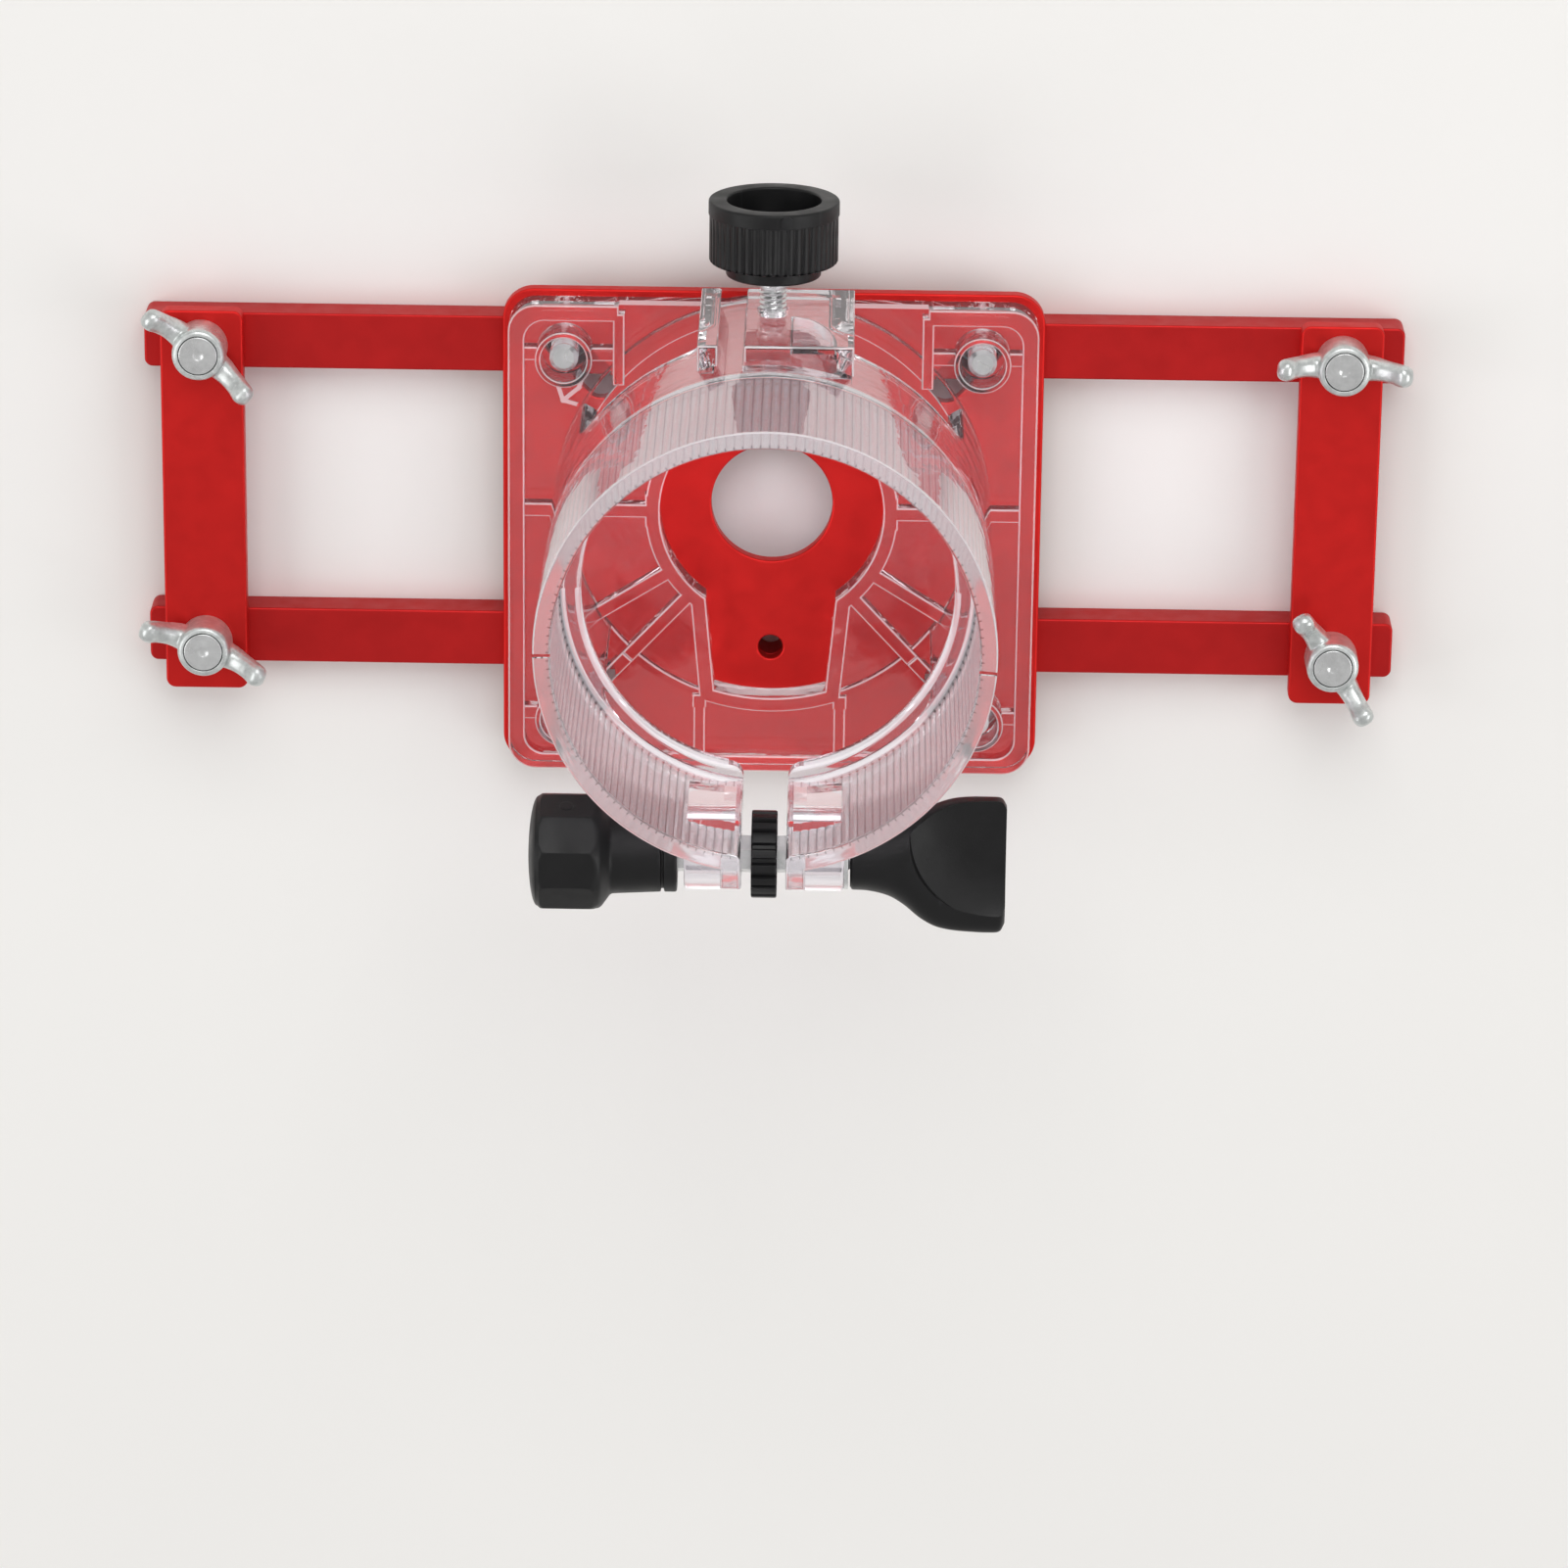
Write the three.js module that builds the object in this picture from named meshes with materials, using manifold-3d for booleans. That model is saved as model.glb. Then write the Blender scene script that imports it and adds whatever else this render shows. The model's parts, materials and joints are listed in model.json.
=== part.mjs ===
// Base for a trimming router: a clear moulded socket with a split clamping ring stands on a red
// plate, the plate rides on two long rails, and two cross bars tie the rails' ends together.
// Millimetres, +Z up. X runs along the rails, +Y points to the guide screw, and the rails'
// undersides lie at z = 0. Inside the group the bit axis is x = 0, y = 0.
import * as THREE from 'three';
import { mergeVertices } from 'three/addons/utils/BufferGeometryUtils.js';
import Module from 'manifold-3d';

const wasm = await Module();
wasm.setup();

// Rails
const railLength = 202.8;
const railWidth = 9.2;
const railThickness = 6.35;
const railSpacing = 49.9;
const railPairShift = 0.45;
const railEndRadius = 1.3;

// Base plate
const plateWidth = 87;
const plateDepth = 80.4;
const plateRearReach = 35.4;
const plateThickness = 2.6;
const plateCornerRadius = 5;
const bitHoleRadius = 9.8;
const pilotHoleRadius = 2;
const slotWidth = 5.2;
const slotLength = 14.5;
const slotInset = 5.6;

// Clear base: floor, wall and ribs
const floorInset = 1.05;
const floorThickness = 3;
const floorCornerRadius = 4.5;
const wallThickness = 2.7;
const wallHeight = 6;
const rearGapHalfWidth = 24.7;
const ribHeight = 2.4;
const ribWidth = 2.3;
const rearRibWidth = 1.9;
const bossRadius = 4.6;
const bossBoreRadius = 3.65;
const bossHeight = 6;
const bossInset = 10.1;
const rearBossShift = 0.7;
const frontBossShift = 10;
const keyholeRadius = 18;
const keyholeSlotHalfWidth = 10.5;
const keyholeSlotTaper = 1.5;
const keyholeReach = 31.5;
const collarWidth = 2.4;
const collarNub = 1.4;
const nubWidth = 5.6;
const frontRibX = 11.4;
const spokeAngles = [0, -32, -47, 180, 212, 227];
const outwardSpokeAngles = [0, -32, 180, 212];

// Clear base: barrel, windows and clamp
const socketHeight = 86.3;
const boreRadius = 32.5;
const barrelWall = 2.75;
const ringHeight = 31.7;
const ledgeDepth = 3.4;
const ledgeThickness = 2.6;
const frontWindowDrop = 5.1;
const frontWindowHalfAngle = 52;
const rearWindowTop = 35;
const rearWindowStart = 31;
const rearWindowEnd = 73;
const windowCorner = 5;
const splitWidth = 7;
const lugReach = 12.4;
const lugRadius = 5.6;
const lugSpread = 9;
const flangeWidth = 3;
const flangeReach = 2.6;

// Guide bracket on the back of the barrel
const bracketReach = 2.25;
const bracketHeight = 33;
const bracketBlockLeft = -4.2;
const bracketBlockRight = 12.9;
const bracketLugLeft = -11.5;
const guideSlotWidth = 4.1;
const guideScrewHeight = 26;
const bracketPocketLeft = 2.9;
const bracketPocketRight = 10.2;
const bracketPocketWall = 1.1;
const bracketPocketDepth = 18.5;
const bracketPocketShoulder = 2;

// Cross bars
const barWidth = 13.3;
const barThickness = 3.3;
const barLength = 63.8;
const barCornerRadius = 1.5;
const barRearOverhang = 1.1;
const leftBarInset = 9.5;
const rightBarInset = 10.2;

// Wing bolts
const wingHubRadius = 4.3;
const wingHubHeight = 6.4;
const wingTipSpacing = 18.2;
const wingTipWidth = 3.6;
const wingRise = 2.2;
const wingThickness = 2.9;
const rearLeftWingAngle = -40;
const frontLeftWingAngle = -22.6;
const rearRightWingAngle = -2.5;
const frontRightWingAngle = -57;
const wingUnderShare = 0.17;
const wingSagShare = 0.25;
const wingCrestShare = 0.8;
const hubEdgeHeightShare = 0.85;
const hubEdgeRadiusShare = 0.92;
const studHeadRadius = 3.1;
const studHeadHeight = 3;
const studRadius = 2.5;
const studClearance = 0.15;
const studEndRecess = 0.6;
const studChamfer = 0.5;

// Screws that hold the plate and the rails
const baseScrewRadius = 2.3;
const baseScrewHeadRadius = 4;
const baseScrewHeadHeight = 2.3;
const baseScrewTipRecess = 1.2;
const railScrewRadius = 2;
const railScrewHeadRadius = 3.7;
const railScrewHeadHeight = 2.1;
const railScrewInset = 13.5;
const screwClearance = 0.15;
const headClearance = 0.3;
const headRecess = 0.15;
const headLandShare = 0.15;
const panEdgeShare = 0.3;
const driveSlotWidth = 1.1;
const driveSlotDepth = 1;
const screwChamferShare = 0.25;

// Depth adjuster through the clamp lugs
const adjusterStandoff = 3.75;
const adjusterDrop = 19.2;
const shaftAcrossFlats = 5.3;
const shaftEndRadius = 2.4;
const shaftClearance = 0.3;
const pinionRadius = 6.85;
const pinionRootRadius = 6.1;
const pinionWidth = 4;
const pinionTeeth = 18;
const toothRootShares = [0.6, 0.94];
const depthKnobFacets = 10;
const depthKnobRadius = 9.35;
const depthKnobGripLength = 9.9;
const depthKnobDome = 1.5;
const depthKnobNeckRadius = 6.5;
const depthKnobCollarRadius = 6.1;
const depthKnobCollarLength = 2;
const depthKnobGrooveDepth = 0.5;
const depthKnobGrooveWidth = 0.5;
const depthKnobInnerX = 13.5;
const depthKnobLength = 23.2;
const depthKnobShoulder = 1.5;
const shaftKnobDepth = 14;

// Clamp lever, a paddle nut on the end of the adjuster shaft
const washerThickness = 0.7;
const washerRadius = 5.3;
const leverGap = 0.3;
const leverLength = 24.2;
const leverNeckRadius = 5.35;
const leverBladeFront = 12.2;
const leverBladeRear = 9.7;
const leverBladeThickness = 7;
const leverDish = 1.5;
const leverDishLengthShare = 0.36;
const leverDishWidthShare = 0.8;
const leverDishPlaceShare = 0.8;
const leverBoreDepth = 12;
// Stations along the lever: place, then how far front, rear and thickness are from neck to blade
const leverStationShares = [
  [0, 0, 0, 0],
  [0.12, 0.02, 0.01, 0],
  [0.25, 0.14, 0.08, 0.05],
  [0.35, 0.36, 0.22, 0.15],
  [0.45, 0.66, 0.45, 0.35],
  [0.55, 0.86, 0.72, 0.6],
  [0.66, 0.95, 0.92, 0.8],
  [0.8, 0.99, 1, 0.9],
  [0.93, 1, 1, 0.9],
  [0.975, 0.95, 0.93, 0.9],
  [1, 0.78, 0.7, 0.8],
];
const insertRadius = 3.7;
const insertLength = 8;

// Guide screw
const guideKnobStandoff = 7.8;
const guideKnobLength = 9.9;
const guideKnobRadius = 10.3;
const guideKnobFlutes = 46;
const guideKnobFluteDepth = 0.45;
const fluteRootShares = [0.77];
const guideKnobRimStep = 0.15;
const guideKnobRimLength = 2.3;
const guideKnobCollarRadius = 7.5;
const guideKnobCollarLength = 2.3;
const guideKnobRecessRadius = 7.4;
const guideKnobRecessDepth = 4.5;
const guideShankRadius = 2.2;
const guideShoulderRadius = 2.6;
const guideShoulderLength = 1.4;
const guideShankInKnob = 5;
const guideShankInBracket = 3.75;

// Shared values
const cutOverrun = 1;
const runningGap = 0.3;
const weldDistance = 1e-4;
const roundSides = 32;
const smallSides = 16;
const barrelSides = 64;
const leverSides = 24;
// Where a tooth's crest starts and ends, over one pitch
const crestShares = [0.08, 0.46];

// Levels and places that follow from the sizes above
const plateTop = railThickness + plateThickness;
const floorTop = plateTop + floorThickness;
const wallTop = plateTop + wallHeight;
const barTop = railThickness + barThickness;
const ribTop = floorTop + ribHeight;
const barrelRadius = boreRadius + barrelWall;
const ringBottom = socketHeight - ringHeight;
const frontWindowTop = ringBottom - frontWindowDrop;
const adjusterY = -barrelRadius - adjusterStandoff;
const adjusterHeight = socketHeight - adjusterDrop;
const bracketFaceY = barrelRadius + bracketReach;
const bracketTop = wallTop + bracketHeight;
const rearRailY = railPairShift + railSpacing / 2;
const frontRailY = railPairShift - railSpacing / 2;
const plateFrontY = plateRearReach - plateDepth;
const floorHalfWidth = plateWidth / 2 - floorInset;
const floorRearY = plateRearReach - floorInset;
const floorFrontY = plateFrontY + floorInset;
const bossX = plateWidth / 2 - bossInset;
const slotInnerX = bossX - slotInset;
const railScrewX = plateWidth / 2 - railScrewInset;
const bossRearY = rearRailY + rearBossShift;
const bossFrontY = frontRailY - frontBossShift;
const leftBarX = leftBarInset - railLength / 2;
const rightBarX = railLength / 2 - rightBarInset;
const barRearY = rearRailY + railWidth / 2 + barRearOverhang;
const shaftCornerRadius = shaftAcrossFlats / Math.sqrt(3);
const leverStartX = lugReach + washerThickness + leverGap;
const guideKnobInnerY = bracketFaceY + guideKnobStandoff;
const guideTipY = bracketFaceY - guideShankInBracket;

// Colours and finishes
const finishes = {
  redAnodised: { color: 0xc8302d, roughness: 0.42, metalness: 0.55 },
  darkRedAnodised: { color: 0xaa2328, roughness: 0.45, metalness: 0.55 },
  clearPlastic: { color: 0xe9e2ea, roughness: 0.12, metalness: 0, transparent: true, opacity: 0.4 },
  blackPlastic: { color: 0x2d2e32, roughness: 0.5, metalness: 0 },
  zinc: { color: 0xc3c7c9, roughness: 0.38, metalness: 0.9 },
  steel: { color: 0xb4b7ba, roughness: 0.3, metalness: 1 },
};

// A closed geometry with shared corners, no collapsed faces, and its faces pointing out
function closed(source) {
  const geometry = source.clone();
  geometry.deleteAttribute('normal');
  geometry.deleteAttribute('uv');
  const merged = mergeVertices(geometry, weldDistance);
  const position = merged.getAttribute('position');
  const kept = [];
  const a = new THREE.Vector3();
  const b = new THREE.Vector3();
  const c = new THREE.Vector3();
  let volume = 0;
  for (let i = 0; i < merged.index.count; i += 3) {
    const [ia, ib, ic] = [0, 1, 2].map((k) => merged.index.getX(i + k));
    if (ia === ib || ib === ic || ic === ia) continue;
    kept.push(ia, ib, ic);
    a.fromBufferAttribute(position, ia);
    b.fromBufferAttribute(position, ib);
    c.fromBufferAttribute(position, ic);
    volume += a.dot(b.cross(c));
  }
  if (volume < 0) kept.reverse();
  merged.setIndex(kept);
  return merged;
}

function toSolid(geometry) {
  const shape = closed(geometry);
  return new wasm.Manifold(new wasm.Mesh({
    numProp: 3,
    vertProperties: new Float32Array(shape.getAttribute('position').array),
    triVerts: new Uint32Array(shape.index.array),
  }));
}

function toGeometry(body) {
  const mesh = body.getMesh();
  const geometry = new THREE.BufferGeometry();
  geometry.setAttribute('position', new THREE.BufferAttribute(new Float32Array(mesh.vertProperties), 3));
  geometry.setIndex(Array.from(mesh.triVerts));
  return geometry;
}

const join = (...bodies) => bodies.reduce((sum, body) => sum.add(body));
const cut = (body, ...tools) => tools.reduce((rest, tool) => rest.subtract(tool), body);

function box(x0, x1, y0, y1, z0, z1) {
  const geometry = new THREE.BoxGeometry(x1 - x0, y1 - y0, z1 - z0);
  geometry.translate((x0 + x1) / 2, (y0 + y1) / 2, (z0 + z1) / 2);
  return toSolid(geometry);
}

function prism(shape, z0, z1, curveSegments = 5) {
  const geometry = new THREE.ExtrudeGeometry(shape, {
    depth: z1 - z0, bevelEnabled: false, curveSegments,
  });
  geometry.translate(0, 0, z0);
  return geometry;
}

function roundedRectangle(x0, x1, y0, y1, radius) {
  const shape = new THREE.Shape();
  shape.moveTo(x0 + radius, y0);
  shape.lineTo(x1 - radius, y0);
  shape.absarc(x1 - radius, y0 + radius, radius, -Math.PI / 2, 0);
  shape.lineTo(x1, y1 - radius);
  shape.absarc(x1 - radius, y1 - radius, radius, 0, Math.PI / 2);
  shape.lineTo(x0 + radius, y1);
  shape.absarc(x0 + radius, y1 - radius, radius, Math.PI / 2, Math.PI);
  shape.lineTo(x0, y0 + radius);
  shape.absarc(x0 + radius, y0 + radius, radius, Math.PI, Math.PI * 1.5);
  return shape;
}

// A round bar along Z, placed by its axis
function post(x, y, radius, z0, z1, sides = smallSides) {
  const geometry = new THREE.CylinderGeometry(radius, radius, z1 - z0, sides);
  geometry.rotateX(Math.PI / 2);
  geometry.translate(x, y, (z0 + z1) / 2);
  return toSolid(geometry);
}

// A turned piece about Z, from [radius, height] pairs that start and end on the axis or close
function turned(profile, sides = roundSides) {
  const points = profile.map(([radius, height]) => new THREE.Vector2(radius, height));
  const geometry = new THREE.LatheGeometry(points, sides);
  geometry.rotateX(Math.PI / 2);
  return geometry;
}

// A ring about Z that starts at z = 0
function sleeve(innerRadius, outerRadius, length) {
  return turned([
    [innerRadius, 0],
    [outerRadius, 0],
    [outerRadius, length],
    [innerRadius, length],
    [innerRadius, 0],
  ], smallSides);
}

const disc = (radius) => new THREE.Shape().absarc(0, 0, radius, 0, Math.PI * 2);
const alongX = (geometry) => geometry.rotateY(Math.PI / 2);
const alongY = (geometry) => geometry.rotateX(-Math.PI / 2);

// An even-sided polygon with its flats `across` apart
function flatsOutline(across, sides) {
  const radius = across / 2 / Math.cos(Math.PI / sides);
  const shape = new THREE.Shape();
  for (let i = 0; i < sides; i += 1) {
    const angle = ((i + 0.5) / sides) * Math.PI * 2;
    const [x, y] = [radius * Math.cos(angle), radius * Math.sin(angle)];
    if (i === 0) shape.moveTo(x, y);
    else shape.lineTo(x, y);
  }
  return shape;
}

// A round outline with `count` teeth or flutes: a flat crest, then a root with the given places
function toothedOutline(outer, root, count, rootShares) {
  const shape = new THREE.Shape();
  for (let i = 0; i < count; i += 1) {
    const corners = [
      ...crestShares.map((share) => [outer, share]),
      ...rootShares.map((share) => [root, share]),
    ];
    corners.forEach(([radius, share], k) => {
      const angle = ((i + share) / count) * Math.PI * 2;
      const [x, y] = [radius * Math.cos(angle), radius * Math.sin(angle)];
      if (i === 0 && k === 0) shape.moveTo(x, y);
      else shape.lineTo(x, y);
    });
  }
  return shape;
}

const part = new THREE.Group();

function addPiece(name, geometry, finish) {
  const mesh = new THREE.Mesh(closed(geometry), new THREE.MeshStandardMaterial(finishes[finish]));
  mesh.name = name;
  part.add(mesh);
  return mesh;
}

// A piece made along X from x = 0, put at a place on the adjuster's axis
function placeOnAdjuster(name, geometry, x, finish) {
  geometry.translate(x, adjusterY, adjusterHeight);
  addPiece(name, geometry, finish);
}

// Screw places, written once for the holes and the screws alike
const rearBaseScrews = [['rear_left', -bossX, bossRearY], ['rear_right', bossX, bossRearY]];
const frontBaseScrews = [['front_left', -bossX, bossFrontY], ['front_right', bossX, bossFrontY]];
const railScrews = [['left', -railScrewX, frontRailY], ['right', railScrewX, frontRailY]];
const wingBolts = [
  ['rear_left', leftBarX, rearRailY, rearLeftWingAngle],
  ['front_left', leftBarX, frontRailY, frontLeftWingAngle],
  ['rear_right', rightBarX, rearRailY, rearRightWingAngle],
  ['front_right', rightBarX, frontRailY, frontRightWingAngle],
];

// A seat for a countersunk head that opens downwards, with the head's own land and cone
function countersink(x, y, headRadius, headHeight, shankRadius, z0) {
  const geometry = turned([
    [0, z0 - cutOverrun],
    [headRadius + headClearance, z0 - cutOverrun],
    [headRadius + headClearance, z0 + headHeight * headLandShare],
    [shankRadius + headClearance, z0 + headHeight],
    [0, z0 + headHeight],
  ], smallSides);
  geometry.translate(x, y, 0);
  return toSolid(geometry);
}

function rail(middleY, screws, headRadius, headHeight, shankRadius) {
  const outline = roundedRectangle(
    -railLength / 2, railLength / 2, middleY - railWidth / 2, middleY + railWidth / 2, railEndRadius);
  const below = -cutOverrun;
  const above = railThickness + cutOverrun;
  const screwCuts = screws.map(([, x, y]) => join(
    post(x, y, shankRadius + screwClearance, below, above),
    countersink(x, y, headRadius, headHeight, shankRadius, headRecess)));
  const studCuts = wingBolts.filter(([, , y]) => y === middleY)
    .map(([, x, y]) => post(x, y, studRadius + studClearance, below, above));
  return cut(toSolid(prism(outline, 0, railThickness)), ...screwCuts, ...studCuts);
}

function makeRails() {
  const rear = rail(
    rearRailY, rearBaseScrews, baseScrewHeadRadius, baseScrewHeadHeight, baseScrewRadius);
  addPiece('rear_rail', toGeometry(rear), 'darkRedAnodised');
  const front = rail(
    frontRailY, railScrews, railScrewHeadRadius, railScrewHeadHeight, railScrewRadius);
  const pilot = post(0, frontRailY, pilotHoleRadius, -cutOverrun, railThickness + cutOverrun);
  addPiece('front_rail', toGeometry(cut(front, pilot)), 'darkRedAnodised');
}

// A slot at 45 degrees under each base screw, its inner end nearer the bit
function plateSlot(sideX, sideY) {
  const radius = slotWidth / 2;
  const shape = new THREE.Shape();
  shape.moveTo(0, -radius);
  shape.lineTo(slotLength - slotWidth, -radius);
  shape.absarc(slotLength - slotWidth, 0, radius, -Math.PI / 2, Math.PI / 2);
  shape.lineTo(0, radius);
  shape.absarc(0, 0, radius, Math.PI / 2, Math.PI * 1.5);
  const geometry = prism(shape, railThickness - cutOverrun, plateTop + cutOverrun);
  const screwY = sideY > 0 ? bossRearY : bossFrontY;
  geometry.rotateZ(Math.atan2(sideY, sideX));
  geometry.translate(sideX * slotInnerX, screwY - sideY * slotInset, 0);
  return toSolid(geometry);
}

function makePlate() {
  const outline = roundedRectangle(
    -plateWidth / 2, plateWidth / 2, plateFrontY, plateRearReach, plateCornerRadius);
  const bottom = railThickness - cutOverrun;
  const top = plateTop + cutOverrun;
  const slots = [-1, 1].flatMap((sideX) => [-1, 1].map((sideY) => plateSlot(sideX, sideY)));
  const railScrewHoles = railScrews.map(([, x, y]) =>
    post(x, y, railScrewRadius + screwClearance, bottom, top));
  const body = cut(
    toSolid(prism(outline, railThickness, plateTop)),
    post(0, 0, bitHoleRadius, bottom, top, roundSides),
    post(0, frontRailY, pilotHoleRadius, bottom, top),
    ...slots,
    ...railScrewHoles);
  addPiece('base_plate', toGeometry(body), 'redAnodised');
}

// The keyhole through the floor, grown by `extra` for the collar round it
function keyholeOutline(extra) {
  const radius = keyholeRadius + extra;
  const half = keyholeSlotHalfWidth + extra;
  const narrow = half - keyholeSlotTaper;
  const entry = -Math.acos(half / radius);
  const end = keyholeReach + extra;
  const endAngle = Math.acos(narrow / end);
  const shape = new THREE.Shape();
  shape.absarc(0, 0, radius, entry, Math.PI - entry);
  shape.lineTo(-end * Math.cos(endAngle), -end * Math.sin(endAngle));
  shape.absarc(0, 0, end, Math.PI + endAngle, Math.PI * 2 - endAngle);
  return shape;
}

// A straight rib from one radius to another at an angle round the bit axis
function radialRib(degrees, from, to, width, z0, z1) {
  const geometry = new THREE.BoxGeometry(to - from, width, z1 - z0);
  geometry.translate((from + to) / 2, 0, (z0 + z1) / 2);
  geometry.rotateZ(THREE.MathUtils.degToRad(degrees));
  return toSolid(geometry);
}

function makeFloor() {
  const outer = (inset) => roundedRectangle(
    -floorHalfWidth + inset, floorHalfWidth - inset, floorFrontY + inset, floorRearY - inset,
    floorCornerRadius - inset / 2);
  const slab = toSolid(prism(outer(0), plateTop, floorTop, 6));
  const wall = cut(
    toSolid(prism(outer(0), plateTop, wallTop, 6)),
    toSolid(prism(outer(wallThickness), floorTop, wallTop + cutOverrun, 6)),
    box(-rearGapHalfWidth, rearGapHalfWidth, floorRearY - 2 * wallThickness, floorRearY + cutOverrun,
      floorTop, wallTop + cutOverrun));
  const collar = toSolid(prism(keyholeOutline(collarWidth), floorTop, ribTop, 12));
  const nubs = [0, 180].map((angle) => radialRib(
    angle, keyholeRadius - collarNub, keyholeRadius + collarWidth, nubWidth, plateTop, ribTop));
  const spokes = spokeAngles.map((angle) => radialRib(
    angle, keyholeRadius + collarWidth / 2, barrelRadius - barrelWall / 2, ribWidth, floorTop, ribTop));
  const outward = outwardSpokeAngles.map((angle) => radialRib(
    angle, barrelRadius - barrelWall / 2, floorHalfWidth - wallThickness / 2, ribWidth, floorTop, ribTop));
  const rearRibs = [-1, 1].map((side) => {
    const middle = side * rearGapHalfWidth;
    const start = Math.sqrt(boreRadius ** 2 - rearGapHalfWidth ** 2);
    return box(middle - rearRibWidth / 2, middle + rearRibWidth / 2, start,
      floorRearY - wallThickness / 2, floorTop, wallTop);
  });
  const frontRibs = [-1, 1].map((side) => box(
    side * frontRibX - ribWidth / 2, side * frontRibX + ribWidth / 2,
    floorFrontY + wallThickness / 2, -keyholeReach, floorTop, ribTop));
  const bossRibs = [...rearBaseScrews, ...frontBaseScrews].flatMap(([, x, y]) => {
    const side = Math.sign(x);
    const reach = y > 0 ? rearGapHalfWidth : bossX;
    const inner = Math.min(side * reach, side * (floorHalfWidth - wallThickness / 2));
    const outerX = Math.max(side * reach, side * (floorHalfWidth - wallThickness / 2));
    return [box(inner, outerX, y - ribWidth / 2, y + ribWidth / 2, floorTop, ribTop)];
  });
  return join(
    slab, wall, collar, ...nubs, ...spokes, ...outward, ...rearRibs, ...frontRibs, ...bossRibs);
}

// A round-cornered opening in the barrel wall, square to the wall at `degrees`
function barrelWindow(startDegrees, endDegrees, z0, z1) {
  const steps = 10;
  const inner = boreRadius - cutOverrun;
  const outer = barrelRadius + cutOverrun;
  const shape = new THREE.Shape();
  const start = THREE.MathUtils.degToRad(startDegrees);
  const end = THREE.MathUtils.degToRad(endDegrees);
  shape.absarc(0, 0, outer, start, end);
  shape.absarc(0, 0, inner, end, start, true);
  return prism(shape, z0, z1, steps);
}

// The window loses its square top corners: a shorter full-height part and a wider lower part
function arched(startDegrees, endDegrees, z0, z1) {
  const cornerDegrees = THREE.MathUtils.radToDeg(windowCorner / barrelRadius);
  const layers = 3;
  const parts = [toSolid(barrelWindow(startDegrees, endDegrees, z0, z1 - windowCorner))];
  for (let i = 0; i < layers; i += 1) {
    const rise = Math.sin(((i + 1) / layers) * Math.PI / 2);
    const drawIn = cornerDegrees * (1 - Math.cos(((i + 0.5) / layers) * Math.PI / 2));
    parts.push(toSolid(barrelWindow(
      startDegrees + drawIn, endDegrees - drawIn, z0, z1 - windowCorner + windowCorner * rise)));
  }
  return join(...parts);
}

// One clamp lug: a round sleeve about the adjuster axis that spreads to the barrel wall
function clampLug(side) {
  const shape = new THREE.Shape();
  const wallY = -Math.sqrt(barrelRadius ** 2 - lugReach ** 2) + barrelWall;
  shape.moveTo(-lugSpread, wallY - adjusterY);
  shape.lineTo(-lugRadius, 0);
  shape.absarc(0, 0, lugRadius, Math.PI, Math.PI * 2);
  shape.lineTo(lugSpread, wallY - adjusterY);
  const geometry = prism(shape, splitWidth / 2, lugReach, 8);
  geometry.rotateY(Math.PI / 2);
  if (side < 0) geometry.scale(-1, 1, 1);
  geometry.translate(0, adjusterY, adjusterHeight);
  return toSolid(geometry);
}

function makeBarrel() {
  const ledgeRadius = boreRadius - ledgeDepth;
  const tube = toSolid(turned([
    [boreRadius, plateTop],
    [barrelRadius, plateTop],
    [barrelRadius, socketHeight],
    [boreRadius, socketHeight],
    [boreRadius, ringBottom],
    [ledgeRadius, ringBottom],
    [ledgeRadius, ringBottom - ledgeThickness],
    [boreRadius, ringBottom - ledgeThickness - ledgeDepth],
    [boreRadius, plateTop],
  ], barrelSides));
  const lugs = [-1, 1].map(clampLug);
  const flanges = [-1, 1].map((side) => {
    const near = side * splitWidth / 2;
    const far = side * (splitWidth / 2 + flangeWidth);
    return box(Math.min(near, far), Math.max(near, far), -barrelRadius - flangeReach,
      -boreRadius, frontWindowTop, socketHeight);
  });
  return join(tube, ...lugs, ...flanges);
}

function makeBracket() {
  const wallY = Math.sqrt(boreRadius ** 2 - bracketBlockRight ** 2);
  const lugWallY = Math.sqrt(boreRadius ** 2 - bracketLugLeft ** 2);
  const lugRight = bracketBlockLeft - guideSlotWidth;
  const sunk = wallTop - wallThickness;
  return join(
    box(bracketBlockLeft, bracketBlockRight, wallY, bracketFaceY, sunk, bracketTop),
    box(bracketLugLeft, lugRight, lugWallY, bracketFaceY, sunk, bracketTop));
}

// The block is cored out from above beside the screw, with a curved bottom, down to the barrel
function makeBracketPocket() {
  const width = bracketPocketRight - bracketPocketLeft;
  const shoulder = bracketTop - bracketPocketShoulder;
  const shape = new THREE.Shape();
  shape.moveTo(bracketPocketLeft, bracketTop + cutOverrun);
  shape.lineTo(bracketPocketLeft, bracketTop - bracketPocketDepth);
  shape.absellipse(
    bracketPocketLeft, shoulder, width, bracketPocketDepth - bracketPocketShoulder,
    -Math.PI / 2, 0, false, 0);
  shape.lineTo(bracketPocketRight, bracketTop + cutOverrun);
  const geometry = prism(shape, -bracketFaceY + bracketPocketWall, 0);
  geometry.rotateX(Math.PI / 2);
  const barrel = post(0, 0, barrelRadius, 0, bracketTop + 2 * cutOverrun, barrelSides);
  return cut(toSolid(geometry), barrel);
}

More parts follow.
